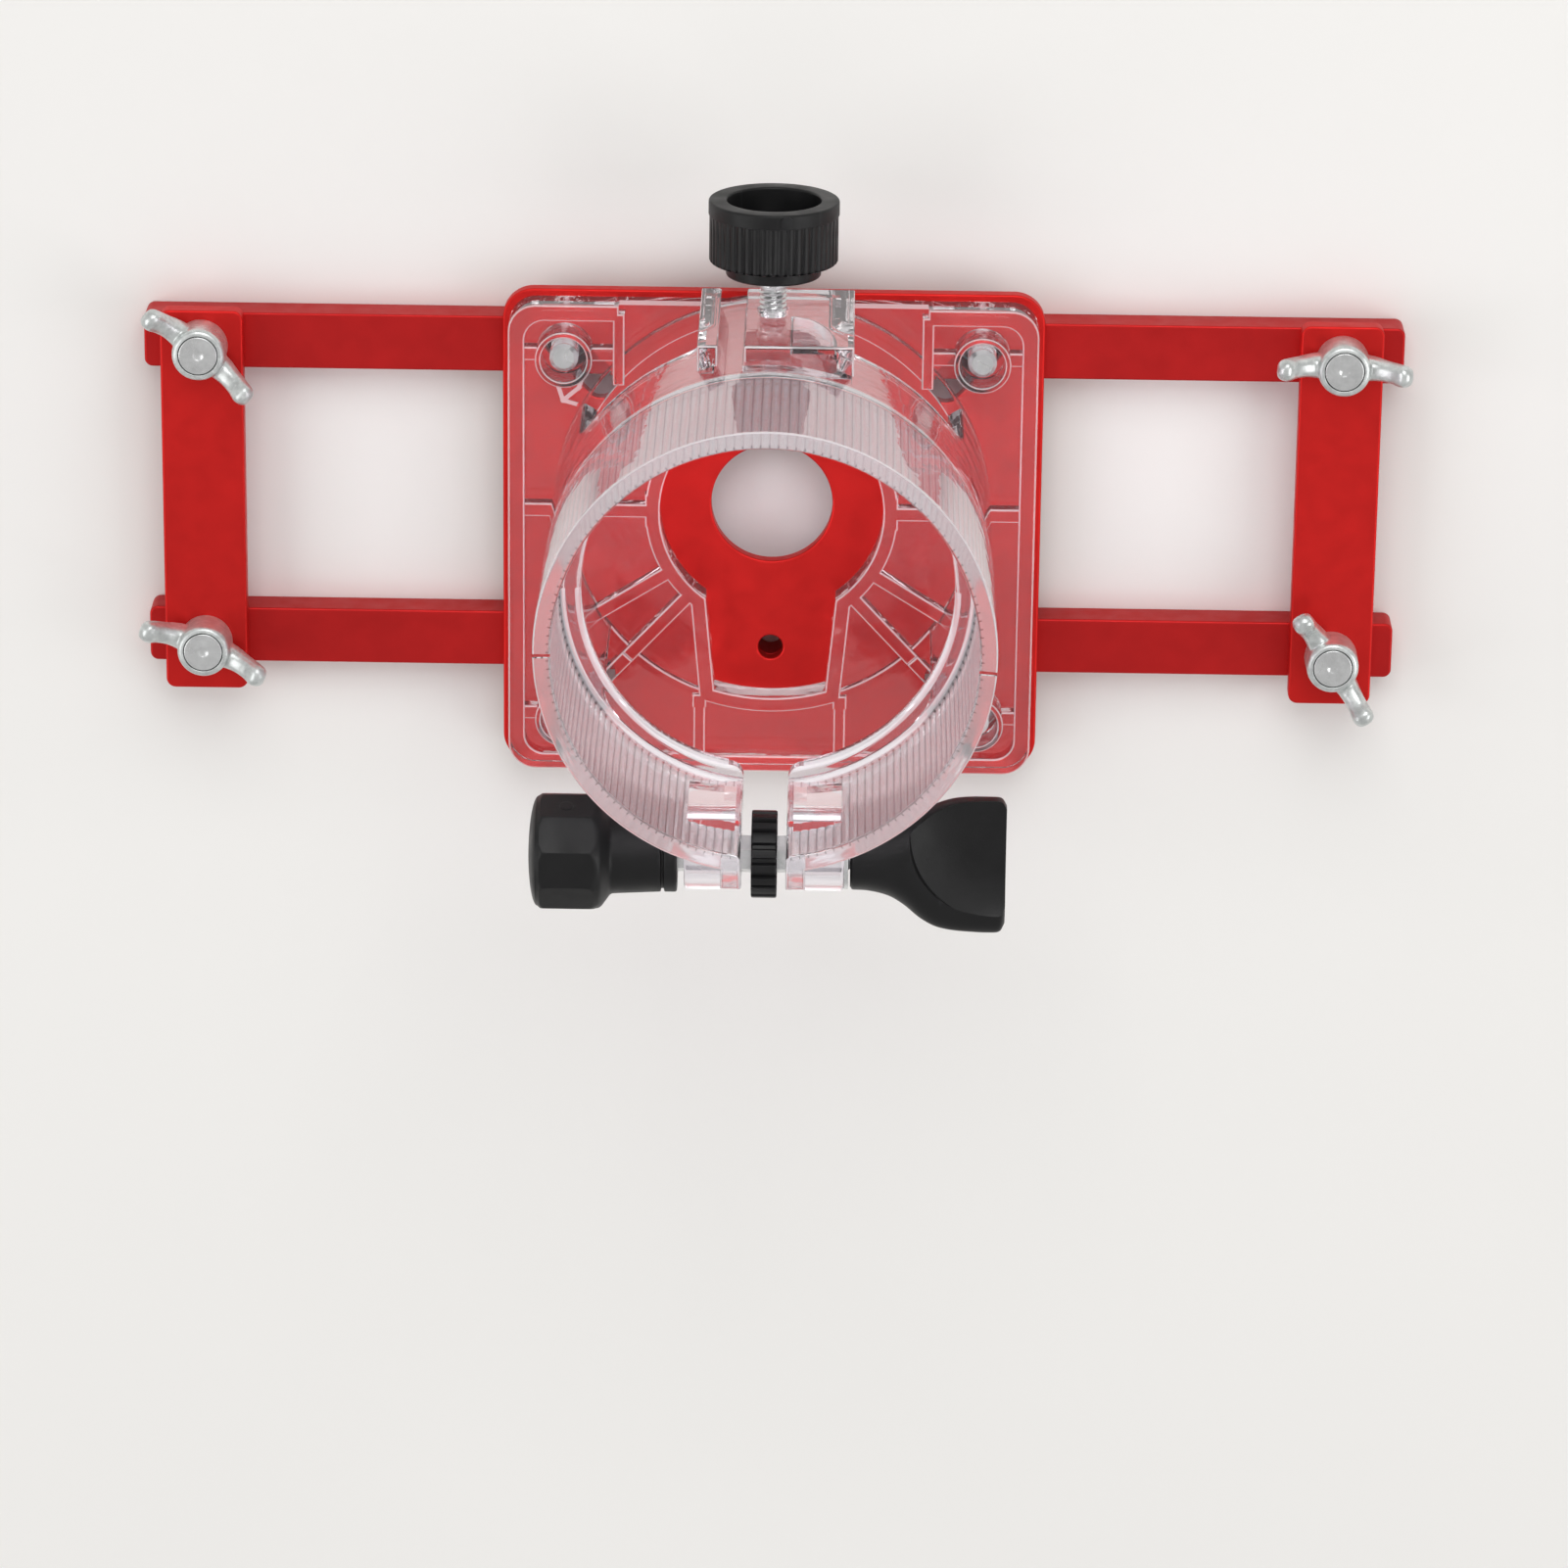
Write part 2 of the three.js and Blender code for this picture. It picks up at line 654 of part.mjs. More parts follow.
function makeClearBase() {
  const socket = join(makeFloor(), makeBarrel(), makeBracket());
  const bosses = [...rearBaseScrews, ...frontBaseScrews].map(([, x, y]) =>
    post(x, y, bossRadius, plateTop, floorTop + bossHeight));
  const bore = post(0, 0, boreRadius, ringBottom, socketHeight + cutOverrun, barrelSides);
  const ledgeBore = post(0, 0, boreRadius - ledgeDepth, ribTop, ringBottom + cutOverrun, barrelSides);
  const keyhole = toSolid(prism(keyholeOutline(0), plateTop - cutOverrun, ribTop + cutOverrun, 12));
  const bossCuts = [...rearBaseScrews, ...frontBaseScrews].map(([, x, y]) => join(
    post(x, y, baseScrewRadius + screwClearance, plateTop - cutOverrun, floorTop + cutOverrun),
    post(x, y, bossBoreRadius, floorTop, floorTop + bossHeight + cutOverrun)));
  const windows = [
    arched(-90 - frontWindowHalfAngle, -90 + frontWindowHalfAngle, ribTop, frontWindowTop),
    arched(rearWindowStart, rearWindowEnd, ribTop, rearWindowTop),
    arched(180 - rearWindowEnd, 180 - rearWindowStart, ribTop, rearWindowTop),
  ];
  const split = box(-splitWidth / 2, splitWidth / 2, adjusterY - lugRadius - cutOverrun, 0,
    frontWindowTop - cutOverrun, socketHeight + cutOverrun);
  const shaftBore = toSolid(alongX(prism(
    disc(shaftCornerRadius + shaftClearance), -lugReach - cutOverrun, lugReach + cutOverrun))
    .translate(0, adjusterY, adjusterHeight));
  const guideBore = toSolid(alongY(prism(
    disc(guideShankRadius + screwClearance), guideTipY - runningGap, bracketFaceY + cutOverrun))
    .translate(0, 0, guideScrewHeight));
  const body = cut(
    join(cut(socket, bore, ledgeBore, ...windows), ...bosses),
    keyhole, ...bossCuts, split, shaftBore, guideBore, makeBracketPocket());
  addPiece('clear_base', toGeometry(body), 'clearPlastic');
}

function makeCrossBars() {
  [['left_cross_bar', leftBarX], ['right_cross_bar', rightBarX]].forEach(([name, x]) => {
    const outline = roundedRectangle(
      x - barWidth / 2, x + barWidth / 2, barRearY - barLength, barRearY, barCornerRadius);
    const holes = wingBolts.filter(([, boltX]) => boltX === x)
      .map(([, , y]) => post(
        x, y, studRadius + studClearance, railThickness - cutOverrun, barTop + cutOverrun));
    const body = cut(toSolid(prism(outline, railThickness, barTop)), ...holes);
    addPiece(name, toGeometry(body), 'redAnodised');
  });
}

// One wing of a wing bolt: its side outline slopes up and out from the hub to a round tip
function wing(direction) {
  const tipRadius = wingTipWidth / 2;
  const tipX = wingTipSpacing / 2;
  const tipZ = wingHubHeight + wingRise - tipRadius;
  const underZ = wingHubHeight * wingUnderShare;
  const crestZ = wingHubHeight * wingCrestShare;
  const shape = new THREE.Shape();
  shape.moveTo(0, underZ);
  shape.lineTo(wingHubRadius, underZ);
  shape.quadraticCurveTo(tipX, wingHubHeight * wingSagShare, tipX + tipRadius, tipZ);
  shape.absarc(tipX, tipZ, tipRadius, 0, Math.PI);
  shape.quadraticCurveTo(tipX - tipRadius, crestZ, wingHubRadius, crestZ);
  shape.lineTo(0, crestZ);
  const geometry = prism(shape, -wingThickness / 2, wingThickness / 2);
  geometry.rotateX(Math.PI / 2);
  if (direction < 0) geometry.rotateZ(Math.PI);
  return toSolid(geometry);
}

function wingHead() {
  const hub = toSolid(turned([
    [0, 0],
    [wingHubRadius, 0],
    [wingHubRadius, wingHubHeight * hubEdgeHeightShare],
    [wingHubRadius * hubEdgeRadiusShare, wingHubHeight],
    [0, wingHubHeight],
  ], smallSides));
  return cut(
    join(hub, wing(1), wing(-1)),
    post(0, 0, studRadius + studClearance, -cutOverrun, wingHubHeight),
    post(0, 0, studHeadRadius + studClearance, wingHubHeight - studHeadHeight,
      wingHubHeight + wingRise + cutOverrun));
}

function wingStud() {
  const bottom = studEndRecess - barTop;
  const top = wingHubHeight;
  const headBottom = wingHubHeight - studHeadHeight + studClearance;
  return turned([
    [0, bottom],
    [studRadius - studChamfer, bottom],
    [studRadius, bottom + studChamfer],
    [studRadius, headBottom],
    [studHeadRadius, headBottom],
    [studHeadRadius, top],
    [0, top],
  ], smallSides);
}

function makeWingBolts() {
  const head = toGeometry(wingHead());
  const stud = wingStud();
  wingBolts.forEach(([place, x, y, degrees]) => {
    const turn = THREE.MathUtils.degToRad(degrees);
    [['wing_head', head, 'zinc'], ['wing_stud', stud, 'steel']].forEach(([kind, geometry, finish]) => {
      const mesh = addPiece(`${place}_${kind}`, geometry, finish);
      mesh.position.set(x, y, barTop);
      mesh.rotation.z = turn;
    });
  });
}

// A screw with a straight driver slot, head down at z0, point up at z1. A pan head has a flat
// upper face, and a countersunk head a cone.
function screw(x, y, kind, radius, headRadius, headHeight, z0, z1) {
  const chamfer = radius * screwChamferShare;
  const headProfile = kind === 'pan'
    ? [
      [headRadius * (1 - panEdgeShare / 2), z0],
      [headRadius, z0 + headHeight * panEdgeShare],
      [headRadius, z0 + headHeight],
      [radius, z0 + headHeight],
    ]
    : [
      [headRadius, z0],
      [headRadius, z0 + headHeight * headLandShare],
      [radius, z0 + headHeight],
    ];
  const body = turned([
    [0, z0],
    ...headProfile,
    [radius, z1 - chamfer],
    [radius - chamfer, z1],
    [0, z1],
  ], smallSides);
  const slot = box(-headRadius - cutOverrun, headRadius + cutOverrun, -driveSlotWidth / 2,
    driveSlotWidth / 2, z0 - cutOverrun, z0 + driveSlotDepth);
  const geometry = toGeometry(cut(toSolid(body), slot));
  geometry.translate(x, y, 0);
  return geometry;
}

function makeScrews() {
  const tip = floorTop + bossHeight - baseScrewTipRecess;
  rearBaseScrews.forEach(([place, x, y]) => {
    addPiece(`${place}_base_screw`, screw(x, y, 'countersunk', baseScrewRadius,
      baseScrewHeadRadius, baseScrewHeadHeight, headRecess, tip), 'steel');
  });
  frontBaseScrews.forEach(([place, x, y]) => {
    addPiece(`${place}_base_screw`, screw(x, y, 'pan', baseScrewRadius,
      baseScrewHeadRadius, baseScrewHeadHeight, railThickness - baseScrewHeadHeight, tip), 'steel');
  });
  railScrews.forEach(([place, x, y]) => {
    addPiece(`front_rail_${place}_screw`, screw(x, y, 'countersunk', railScrewRadius,
      railScrewHeadRadius, railScrewHeadHeight, headRecess, plateTop - headRecess), 'steel');
  });
}

// A hexagon bar with a turned, threaded end for the paddle nut
function makeAdjusterShaft() {
  const hexStart = -depthKnobInnerX - shaftKnobDepth;
  const hexEnd = lugReach - runningGap;
  const threadEnd = leverStartX + leverBoreDepth - runningGap;
  const hex = toSolid(prism(flatsOutline(shaftAcrossFlats, 6), hexStart, hexEnd));
  const thread = post(0, 0, shaftEndRadius, hexEnd - cutOverrun, threadEnd);
  placeOnAdjuster('adjuster_shaft', alongX(toGeometry(join(hex, thread))), 0, 'steel');
}

function makePinion() {
  const outline = toothedOutline(pinionRadius, pinionRootRadius, pinionTeeth, toothRootShares);
  const hexHole = flatsOutline(shaftAcrossFlats + 2 * screwClearance, 6);
  const body = cut(
    toSolid(prism(outline, -pinionWidth / 2, pinionWidth / 2)),
    toSolid(prism(hexHole, -pinionWidth, pinionWidth)));
  placeOnAdjuster('adjuster_pinion', alongX(toGeometry(body)), 0, 'blackPlastic');
}

// The knob's grip is a ten-sided bar with rounded corners cut to a domed, shouldered profile
function makeDepthKnob() {
  const gripEnd = depthKnobLength - depthKnobDome;
  const gripStart = gripEnd - depthKnobGripLength;
  const grooveEnd = depthKnobCollarLength + depthKnobGrooveWidth;
  const profile = [
    [0, 0],
    [depthKnobCollarRadius, 0],
    [depthKnobCollarRadius, depthKnobCollarLength],
    [depthKnobCollarRadius - depthKnobGrooveDepth, depthKnobCollarLength],
    [depthKnobCollarRadius - depthKnobGrooveDepth, grooveEnd],
    [depthKnobCollarRadius, grooveEnd],
    [depthKnobNeckRadius, gripStart - depthKnobShoulder],
    [depthKnobRadius - depthKnobShoulder / 2, gripStart],
    [depthKnobRadius, gripStart + depthKnobShoulder],
    [depthKnobRadius, gripEnd - depthKnobShoulder / 2],
    [depthKnobRadius - depthKnobShoulder / 2, gripEnd],
  ];
  const domeSteps = 3;
  for (let i = 1; i <= domeSteps; i += 1) {
    const angle = (i / domeSteps) * Math.PI / 2;
    profile.push([
      (depthKnobRadius - depthKnobShoulder / 2) * Math.cos(angle),
      gripEnd + depthKnobDome * Math.sin(angle),
    ]);
  }
  profile[profile.length - 1][0] = 0;
  const core = toSolid(turned(profile, roundSides));
  const facetCorner = depthKnobRadius * Math.cos(Math.PI / depthKnobFacets);
  const grip = toSolid(prism(
    flatsOutline(facetCorner * 2, depthKnobFacets),
    gripStart - depthKnobShoulder, depthKnobLength + cutOverrun));
  const neck = post(0, 0, depthKnobNeckRadius + cutOverrun, -cutOverrun, gripStart, roundSides);
  const pocket = toSolid(prism(
    flatsOutline(shaftAcrossFlats + 2 * screwClearance, 6),
    -cutOverrun, shaftKnobDepth + runningGap));
  const body = cut(core.intersect(join(grip, neck)), pocket);
  const geometry = toGeometry(body);
  geometry.rotateY(-Math.PI / 2);
  placeOnAdjuster('depth_knob', geometry, -depthKnobInnerX, 'blackPlastic');
}

// Rings of a lofted body: each section gives its place, its reach to the rear and to the front,
// its half thickness and how square it is (2 is an ellipse, more is squarer)
function loft(sections, sides) {
  const positions = [];
  const index = [];
  sections.forEach(({ x, rear, front, half, power }) => {
    for (let i = 0; i < sides; i += 1) {
      const angle = (i / sides) * Math.PI * 2;
      const [c, s] = [Math.cos(angle), Math.sin(angle)];
      const reach = c > 0 ? rear : front;
      positions.push(
        x,
        reach * Math.sign(c) * Math.abs(c) ** (2 / power),
        half * Math.sign(s) * Math.abs(s) ** (2 / power));
    }
  });
  for (let r = 0; r + 1 < sections.length; r += 1) {
    for (let i = 0; i < sides; i += 1) {
      const [a, b] = [r * sides + i, r * sides + ((i + 1) % sides)];
      index.push(a, b, a + sides, b, b + sides, a + sides);
    }
  }
  const last = (sections.length - 1) * sides;
  for (let i = 1; i + 1 < sides; i += 1) {
    index.push(0, i + 1, i);
    index.push(last, last + i, last + i + 1);
  }
  const geometry = new THREE.BufferGeometry();
  geometry.setAttribute('position', new THREE.Float32BufferAttribute(positions, 3));
  geometry.setIndex(index);
  return geometry;
}

// The paddle: a round neck that flares into a broad blade with dished faces
function makeClampLever() {
  const halfBlade = leverBladeThickness / 2;
  const sections = leverStationShares.map(([along, frontShare, rearShare, thinShare]) => ({
    x: leverLength * along,
    rear: leverNeckRadius + (leverBladeRear - leverNeckRadius) * rearShare,
    front: leverNeckRadius + (leverBladeFront - leverNeckRadius) * frontShare,
    half: leverNeckRadius + (halfBlade - leverNeckRadius) * thinShare,
    power: 2 + thinShare,
  }));
  const dishes = [-1, 1].map((side) => {
    const sphere = new THREE.SphereGeometry(1, 20, 12);
    sphere.scale(
      leverLength * leverDishLengthShare, leverBladeFront * leverDishWidthShare, leverDish);
    sphere.translate(
      leverLength * leverDishPlaceShare, (leverBladeRear - leverBladeFront) / 2, side * halfBlade);
    return toSolid(sphere);
  });
  const seat = toSolid(alongX(prism(
    disc(insertRadius + screwClearance), -cutOverrun, insertLength + screwClearance, 8)));
  const threadBore = toSolid(alongX(prism(
    disc(shaftEndRadius + shaftClearance), 0, leverBoreDepth, 6)));
  const body = cut(toSolid(loft(sections, leverSides)), ...dishes, seat, threadBore);
  placeOnAdjuster('clamp_lever', toGeometry(body), leverStartX, 'blackPlastic');
}

// The lever's threaded sleeve, and the washer between the lever and its clamp lug
function makeLeverHardware() {
  const bore = shaftEndRadius + shaftClearance;
  placeOnAdjuster('lever_insert', alongX(sleeve(bore, insertRadius, insertLength)), leverStartX, 'steel');
  placeOnAdjuster('clamp_washer', alongX(sleeve(bore, washerRadius, washerThickness)), lugReach, 'steel');
}

// The guide knob: a smooth rim, a fluted grip, a plain collar and a cup in its outer face
function makeGuideKnob() {
  const rimStart = guideKnobLength - guideKnobRimLength;
  const gripRadius = guideKnobRadius - guideKnobRimStep;
  const rootRadius = gripRadius - guideKnobFluteDepth;
  const grip = toSolid(prism(
    toothedOutline(gripRadius, rootRadius, guideKnobFlutes, fluteRootShares), 0, rimStart + cutOverrun));
  const rim = toSolid(turned([
    [0, rimStart],
    [guideKnobRadius, rimStart],
    [guideKnobRadius, guideKnobLength - guideKnobFluteDepth],
    [guideKnobRadius - guideKnobFluteDepth, guideKnobLength],
    [0, guideKnobLength],
  ], roundSides));
  const collar = post(
    0, 0, guideKnobCollarRadius, -guideKnobCollarLength, cutOverrun, roundSides);
  const recess = post(0, 0, guideKnobRecessRadius, guideKnobLength - guideKnobRecessDepth,
    guideKnobLength + cutOverrun, roundSides);
  const shankHole = post(0, 0, guideShankRadius + screwClearance, -guideKnobCollarLength - cutOverrun,
    guideShankInKnob + screwClearance - guideKnobCollarLength);
  const geometry = alongY(toGeometry(cut(join(grip, rim, collar), recess, shankHole)));
  geometry.translate(0, guideKnobInnerY, guideScrewHeight);
  addPiece('guide_knob', geometry, 'blackPlastic');
}

// The guide screw is held in the knob, has a shoulder under it and threads into the bracket
function makeGuideScrew() {
  const collarEnd = guideKnobInnerY - guideKnobCollarLength;
  const chamfer = guideShankRadius * screwChamferShare;
  const shoulderEnd = collarEnd - runningGap;
  const geometry = alongY(turned([
    [0, guideTipY],
    [guideShankRadius - chamfer, guideTipY],
    [guideShankRadius, guideTipY + chamfer],
    [guideShankRadius, shoulderEnd - guideShoulderLength],
    [guideShoulderRadius, shoulderEnd - guideShoulderLength],
    [guideShoulderRadius, shoulderEnd],
    [guideShankRadius, shoulderEnd],
    [guideShankRadius, collarEnd + guideShankInKnob],
    [0, collarEnd + guideShankInKnob],
  ], smallSides));
  geometry.translate(0, 0, guideScrewHeight);
  addPiece('guide_screw', geometry, 'steel');
}

makeRails();
makePlate();
makeClearBase();
makeCrossBars();
makeWingBolts();
makeScrews();
makeAdjusterShaft();
makePinion();
makeDepthKnob();
makeClampLever();
makeLeverHardware();
makeGuideKnob();
makeGuideScrew();

// The part's origin is under the middle of its box
const bounds = new THREE.Box3().setFromObject(part, true);
part.position.x = -(bounds.min.x + bounds.max.x) / 2;
part.position.y = -(bounds.min.y + bounds.max.y) / 2;

export default part;
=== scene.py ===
"""Trim router base: a clear moulded socket with a split clamp ring on a red plate, rails and cross bars.

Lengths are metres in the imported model's frame. Shapes of the clear base are drawn about the bit axis.
"""
import json
import math

import bmesh
import bpy
from bpy.props import FloatProperty, FloatVectorProperty, IntProperty, PointerProperty
from mathutils import Matrix, Vector

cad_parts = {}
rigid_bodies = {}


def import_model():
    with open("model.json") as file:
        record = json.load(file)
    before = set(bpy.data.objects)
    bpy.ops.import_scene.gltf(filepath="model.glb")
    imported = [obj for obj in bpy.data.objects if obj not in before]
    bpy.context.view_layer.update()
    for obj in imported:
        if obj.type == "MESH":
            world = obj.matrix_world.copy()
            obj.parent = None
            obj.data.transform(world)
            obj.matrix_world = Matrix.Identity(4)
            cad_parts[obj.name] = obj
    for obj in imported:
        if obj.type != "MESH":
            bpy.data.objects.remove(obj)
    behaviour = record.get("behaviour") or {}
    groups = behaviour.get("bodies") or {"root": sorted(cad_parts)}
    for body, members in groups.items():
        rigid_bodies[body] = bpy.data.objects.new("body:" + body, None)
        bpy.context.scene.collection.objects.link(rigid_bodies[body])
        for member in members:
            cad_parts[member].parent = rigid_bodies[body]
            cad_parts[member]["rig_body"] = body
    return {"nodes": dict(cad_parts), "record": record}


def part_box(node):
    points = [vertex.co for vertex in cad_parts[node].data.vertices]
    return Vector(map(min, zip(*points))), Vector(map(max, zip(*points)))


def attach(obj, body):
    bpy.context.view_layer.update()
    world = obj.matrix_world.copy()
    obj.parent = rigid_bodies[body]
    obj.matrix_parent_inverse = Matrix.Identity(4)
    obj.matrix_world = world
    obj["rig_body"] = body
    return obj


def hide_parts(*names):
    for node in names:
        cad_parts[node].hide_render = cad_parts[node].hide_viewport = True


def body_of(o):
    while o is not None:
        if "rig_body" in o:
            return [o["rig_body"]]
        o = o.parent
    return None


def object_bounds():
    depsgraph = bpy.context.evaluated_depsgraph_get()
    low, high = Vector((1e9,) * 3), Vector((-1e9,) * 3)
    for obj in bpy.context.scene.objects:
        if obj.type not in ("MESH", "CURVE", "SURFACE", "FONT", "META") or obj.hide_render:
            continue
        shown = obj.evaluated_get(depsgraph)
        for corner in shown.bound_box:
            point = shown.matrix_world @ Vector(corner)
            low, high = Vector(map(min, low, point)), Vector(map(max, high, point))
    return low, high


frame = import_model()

bl_info = {
    "name": "Trim Router Base",
    "version": (1, 0, 0),
    "blender": (4, 5, 0),
    "location": "3D View > Sidebar > Router Base",
    "description": "Builds and finishes a clear trim router base on red rails",
    "category": "Object",
}

CAD_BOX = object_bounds()
MM = 0.001
# How far a cutter stands past a face, and how deep a joined piece sinks into its neighbour
OVERRUN = 1 * MM
JOINED = 0.2 * MM
# Points that are closer than this become one
WELD = 0.002 * MM
# The cosine that limits how far a sharp corner's mitre reaches
SHARPEST_MITRE = 0.4
# The part of a side that a rounded corner may take
CORNER_SHARE = 0.45
# Places along a wing or the lever are shares of its length; slopes are taken this far to both sides
SLOPE_REACH = 0.02


def middle(node):
    """The middle of a CAD node's box."""
    low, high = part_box(node)
    return (low + high) / 2


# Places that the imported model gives
PLATE_LOW, PLATE_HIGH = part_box("base_plate")
BASE_LOW, BASE_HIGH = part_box("clear_base")
BIT_X = middle("adjuster_pinion").x
ADJUSTER = middle("adjuster_pinion")
GUIDE_SCREW = middle("guide_screw")
BOSSES = [middle(f"{place}_base_screw") for place in ("rear_left", "rear_right", "front_left", "front_right")]
BAR_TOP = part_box("left_cross_bar")[1].z
# How far each wing bolt is turned in the photograph, in degrees
WING_TURNS = {"rear_left": -40.0, "front_left": -22.6, "rear_right": -2.5, "front_right": -57.0}
SLOTS = {entry["node"]: entry["material_slot"] for entry in frame["record"]["subparts"]}


# Properties


def length(name, description, millimetres):
    """A length property whose default is given in millimetres."""
    return FloatProperty(
        name=name, description=description, default=millimetres * MM, min=0, unit="LENGTH", precision=5)


def colour(name, description, value):
    """A colour property in linear light."""
    return FloatVectorProperty(
        name=name, description=description, default=value, size=3, min=0, max=1, subtype="COLOR")


class RouterBaseClearSizes(bpy.types.PropertyGroup):
    """Sizes of the clear moulding."""
    plate_rear_reach: length("Plate rear reach", "From the bit axis to the plate's rear edge", 35.4)
    floor_inset: length("Floor inset", "From the plate's edge to the moulding's outer wall", 1.05)
    floor_thickness: length("Floor thickness", "Height of the clear floor over the plate", 3)
    air_gap: length("Air gap", "Air between the plate and the clear floor", 0.04)
    floor_corner: length("Floor corner", "Radius of the outer wall's corners", 4.5)
    wall_thickness: length("Wall thickness", "Thickness of the outer wall", 2.7)
    wall_height: length("Wall height", "Height of the outer wall over the plate", 6)
    floor_bevel: length("Floor bevel", "Bevel of the floor's rear edge in the rear gap", 0.6)
    rear_gap: length("Rear gap", "Half the width of the gap in the rear wall", 24.7)
    rib_height: length("Rib height", "Height of the ribs over the floor", 2.4)
    rib_width: length("Rib width", "Width of the ribs", 2.3)
    rib_step: length("Rib step", "How much lower the front ribs are outside the barrel", 0.7)
    sill_height: length("Sill height", "Height of the front window's sill over the floor", 1.3)
    split_corner: length("Split corner", "Radius of the ledge's corners at the split", 2.4)
    rear_rib_width: length("Rear rib width", "Width of the ribs beside the rear gap", 1.9)
    boss_radius: length("Boss radius", "Outer radius of the screw bosses", 4.6)
    boss_bore: length("Boss bore", "Radius of the cup in each screw boss", 3.65)
    boss_height: length("Boss height", "Height of the screw bosses over the floor", 6)
    keyhole_radius: length("Keyhole radius", "Radius of the round part of the keyhole", 18)
    keyhole_slot: length("Keyhole slot", "Half width of the keyhole's slot at its root", 10.5)
    keyhole_taper: length("Keyhole taper", "What the slot's half width loses towards its end", 1.5)
    keyhole_reach: length("Keyhole reach", "From the bit axis to the slot's end", 31.5)
    collar_width: length("Collar width", "Width of the raised collar round the keyhole", 2.4)
    collar_nub: length("Collar nub", "How far the two nubs stand into the keyhole", 1.4)
    front_boss_reach: length("Boss spoke reach", "From the bit axis to the front bosses' inner sides", 44.5)
    front_rib_x: length("Front rib place", "From the middle to the two front ribs", 11.4)
    bore_radius: length("Bore radius", "Radius of the motor socket", 32.5)
    barrel_wall: length("Barrel wall", "Thickness of the barrel", 2.75)
    ring_bottom: length("Ring bottom", "Height at which the clamp ring starts", 54.6)
    ledge_depth: length("Ledge depth", "How far the ledge under the ring stands in", 3.4)
    ledge_thickness: length("Ledge thickness", "Thickness of the ledge", 2.6)
    ledge_nose: length("Ledge nose", "Size of the rounding along the ledge and of the fillet behind it", 0.95)
    front_window_top: length("Front window top", "Height of the front window's top edge", 49.5)
    rear_window_top: length("Rear window top", "Height of the rear windows' top edges", 35)
    window_corner: length("Window corner", "Radius of the windows' upper corners", 5)
    split_width: length("Split width", "Width of the split in the ring", 7)
    lug_reach: length("Lug reach", "From the middle to the clamp lugs' ends", 12.4)
    lug_radius: length("Lug radius", "Radius of the clamp lugs' sleeves", 5.6)
    lug_spread: length("Lug spread", "Half the lugs' height where they meet the barrel", 9)
    flange_width: length("Flange width", "Width of the flanges beside the split", 3)
    flange_reach: length("Flange reach", "How far the flanges stand out of the barrel", 2.6)
    bracket_face: length("Bracket face", "From the bit axis to the guide bracket's rear face", 37.5)
    bracket_top: length("Bracket top", "Height of the guide bracket's top", 47.95)
    pocket_left: length("Bracket pocket left", "From the middle to the bracket pocket's left wall", 2.9)
    pocket_right: length("Bracket pocket right", "From the middle to the bracket pocket's right wall", 10.2)
    pocket_wall: length("Bracket pocket wall", "Wall left behind the bracket pocket", 1.1)
    pocket_depth: length("Bracket pocket depth", "Depth of the bracket pocket at its left wall", 18.5)
    pocket_shoulder: length("Bracket pocket shoulder", "Straight part of the pocket's right wall", 2)
    mark_width: length("Mark width", "Width of the arrow's raised lines", 0.75)
    mark_height: length("Mark height", "Height of the arrow's raised lines", 0.3)
    edge: length("Edge", "Rounding of the moulding's edges", 0.45)
    rib_pitch: length("Ring rib pitch", "Pitch of the fine ribs inside the clamp ring", 1.32)
    rib_depth: length("Ring rib depth", "Depth of the fine ribs inside the clamp ring", 0.16)


class RouterBaseMetalSizes(bpy.types.PropertyGroup):
    """Sizes of the rails, bars, plate and screws."""
    edge: length("Edge", "Rounding of the anodised edges", 0.35)
    rail_end: length("Rail end", "Radius of the rails' end corners", 1.3)
    plate_corner: length("Plate corner", "Radius of the plate's corners", 5)
    bit_hole: length("Bit hole", "Radius of the bit hole", 9.8)
    pilot_hole: length("Pilot hole", "Radius of the small hole through plate and front rail", 2)
    slot_width: length("Slot width", "Width of the four slots at 45 degrees", 5.2)
    slot_length: length("Slot length", "Length of the four slots over their round ends", 14.5)
    slot_inner: length("Slot inner end", "From the middle to the slots' inner end centres", 27.8)
    bar_corner: length("Bar corner", "Radius of the cross bars' corners", 1.5)
    thread_pitch: length("Thread pitch", "Pitch of the screws' threads", 0.8)
    thread_depth: length("Thread depth", "Depth of the screws' threads", 0.26)
    drive_slot: length("Drive slot", "Width and depth of the screws' driver slots", 1.05)
    hub_radius: length("Hub radius", "Radius of the wing bolts' hubs", 4.3)
    hub_height: length("Hub height", "Height of the wing bolts' hubs", 6.4)
    wing_thickness: length("Wing thickness", "Thickness of the wings near their tips", 2.9)
    wing_bore: length("Wing bore", "Radius of the bore through the wing heads", 2.65)
    stud_head: length("Stud head", "Radius of the studs' disc heads", 3.1)
    stud_head_height: length("Stud head height", "Height of the studs' disc heads", 2.85)
    stud_radius: length("Stud radius", "Radius of the studs' threads", 2.5)
    base_screw: length("Base screw", "Radius of the screws that hold the plate", 2.3)
    base_head: length("Base screw head", "Radius of those screws' heads", 4)
    rail_screw: length("Rail screw", "Radius of the front rail's screws", 2)
    rail_head: length("Rail screw head", "Radius of those screws' heads", 3.7)


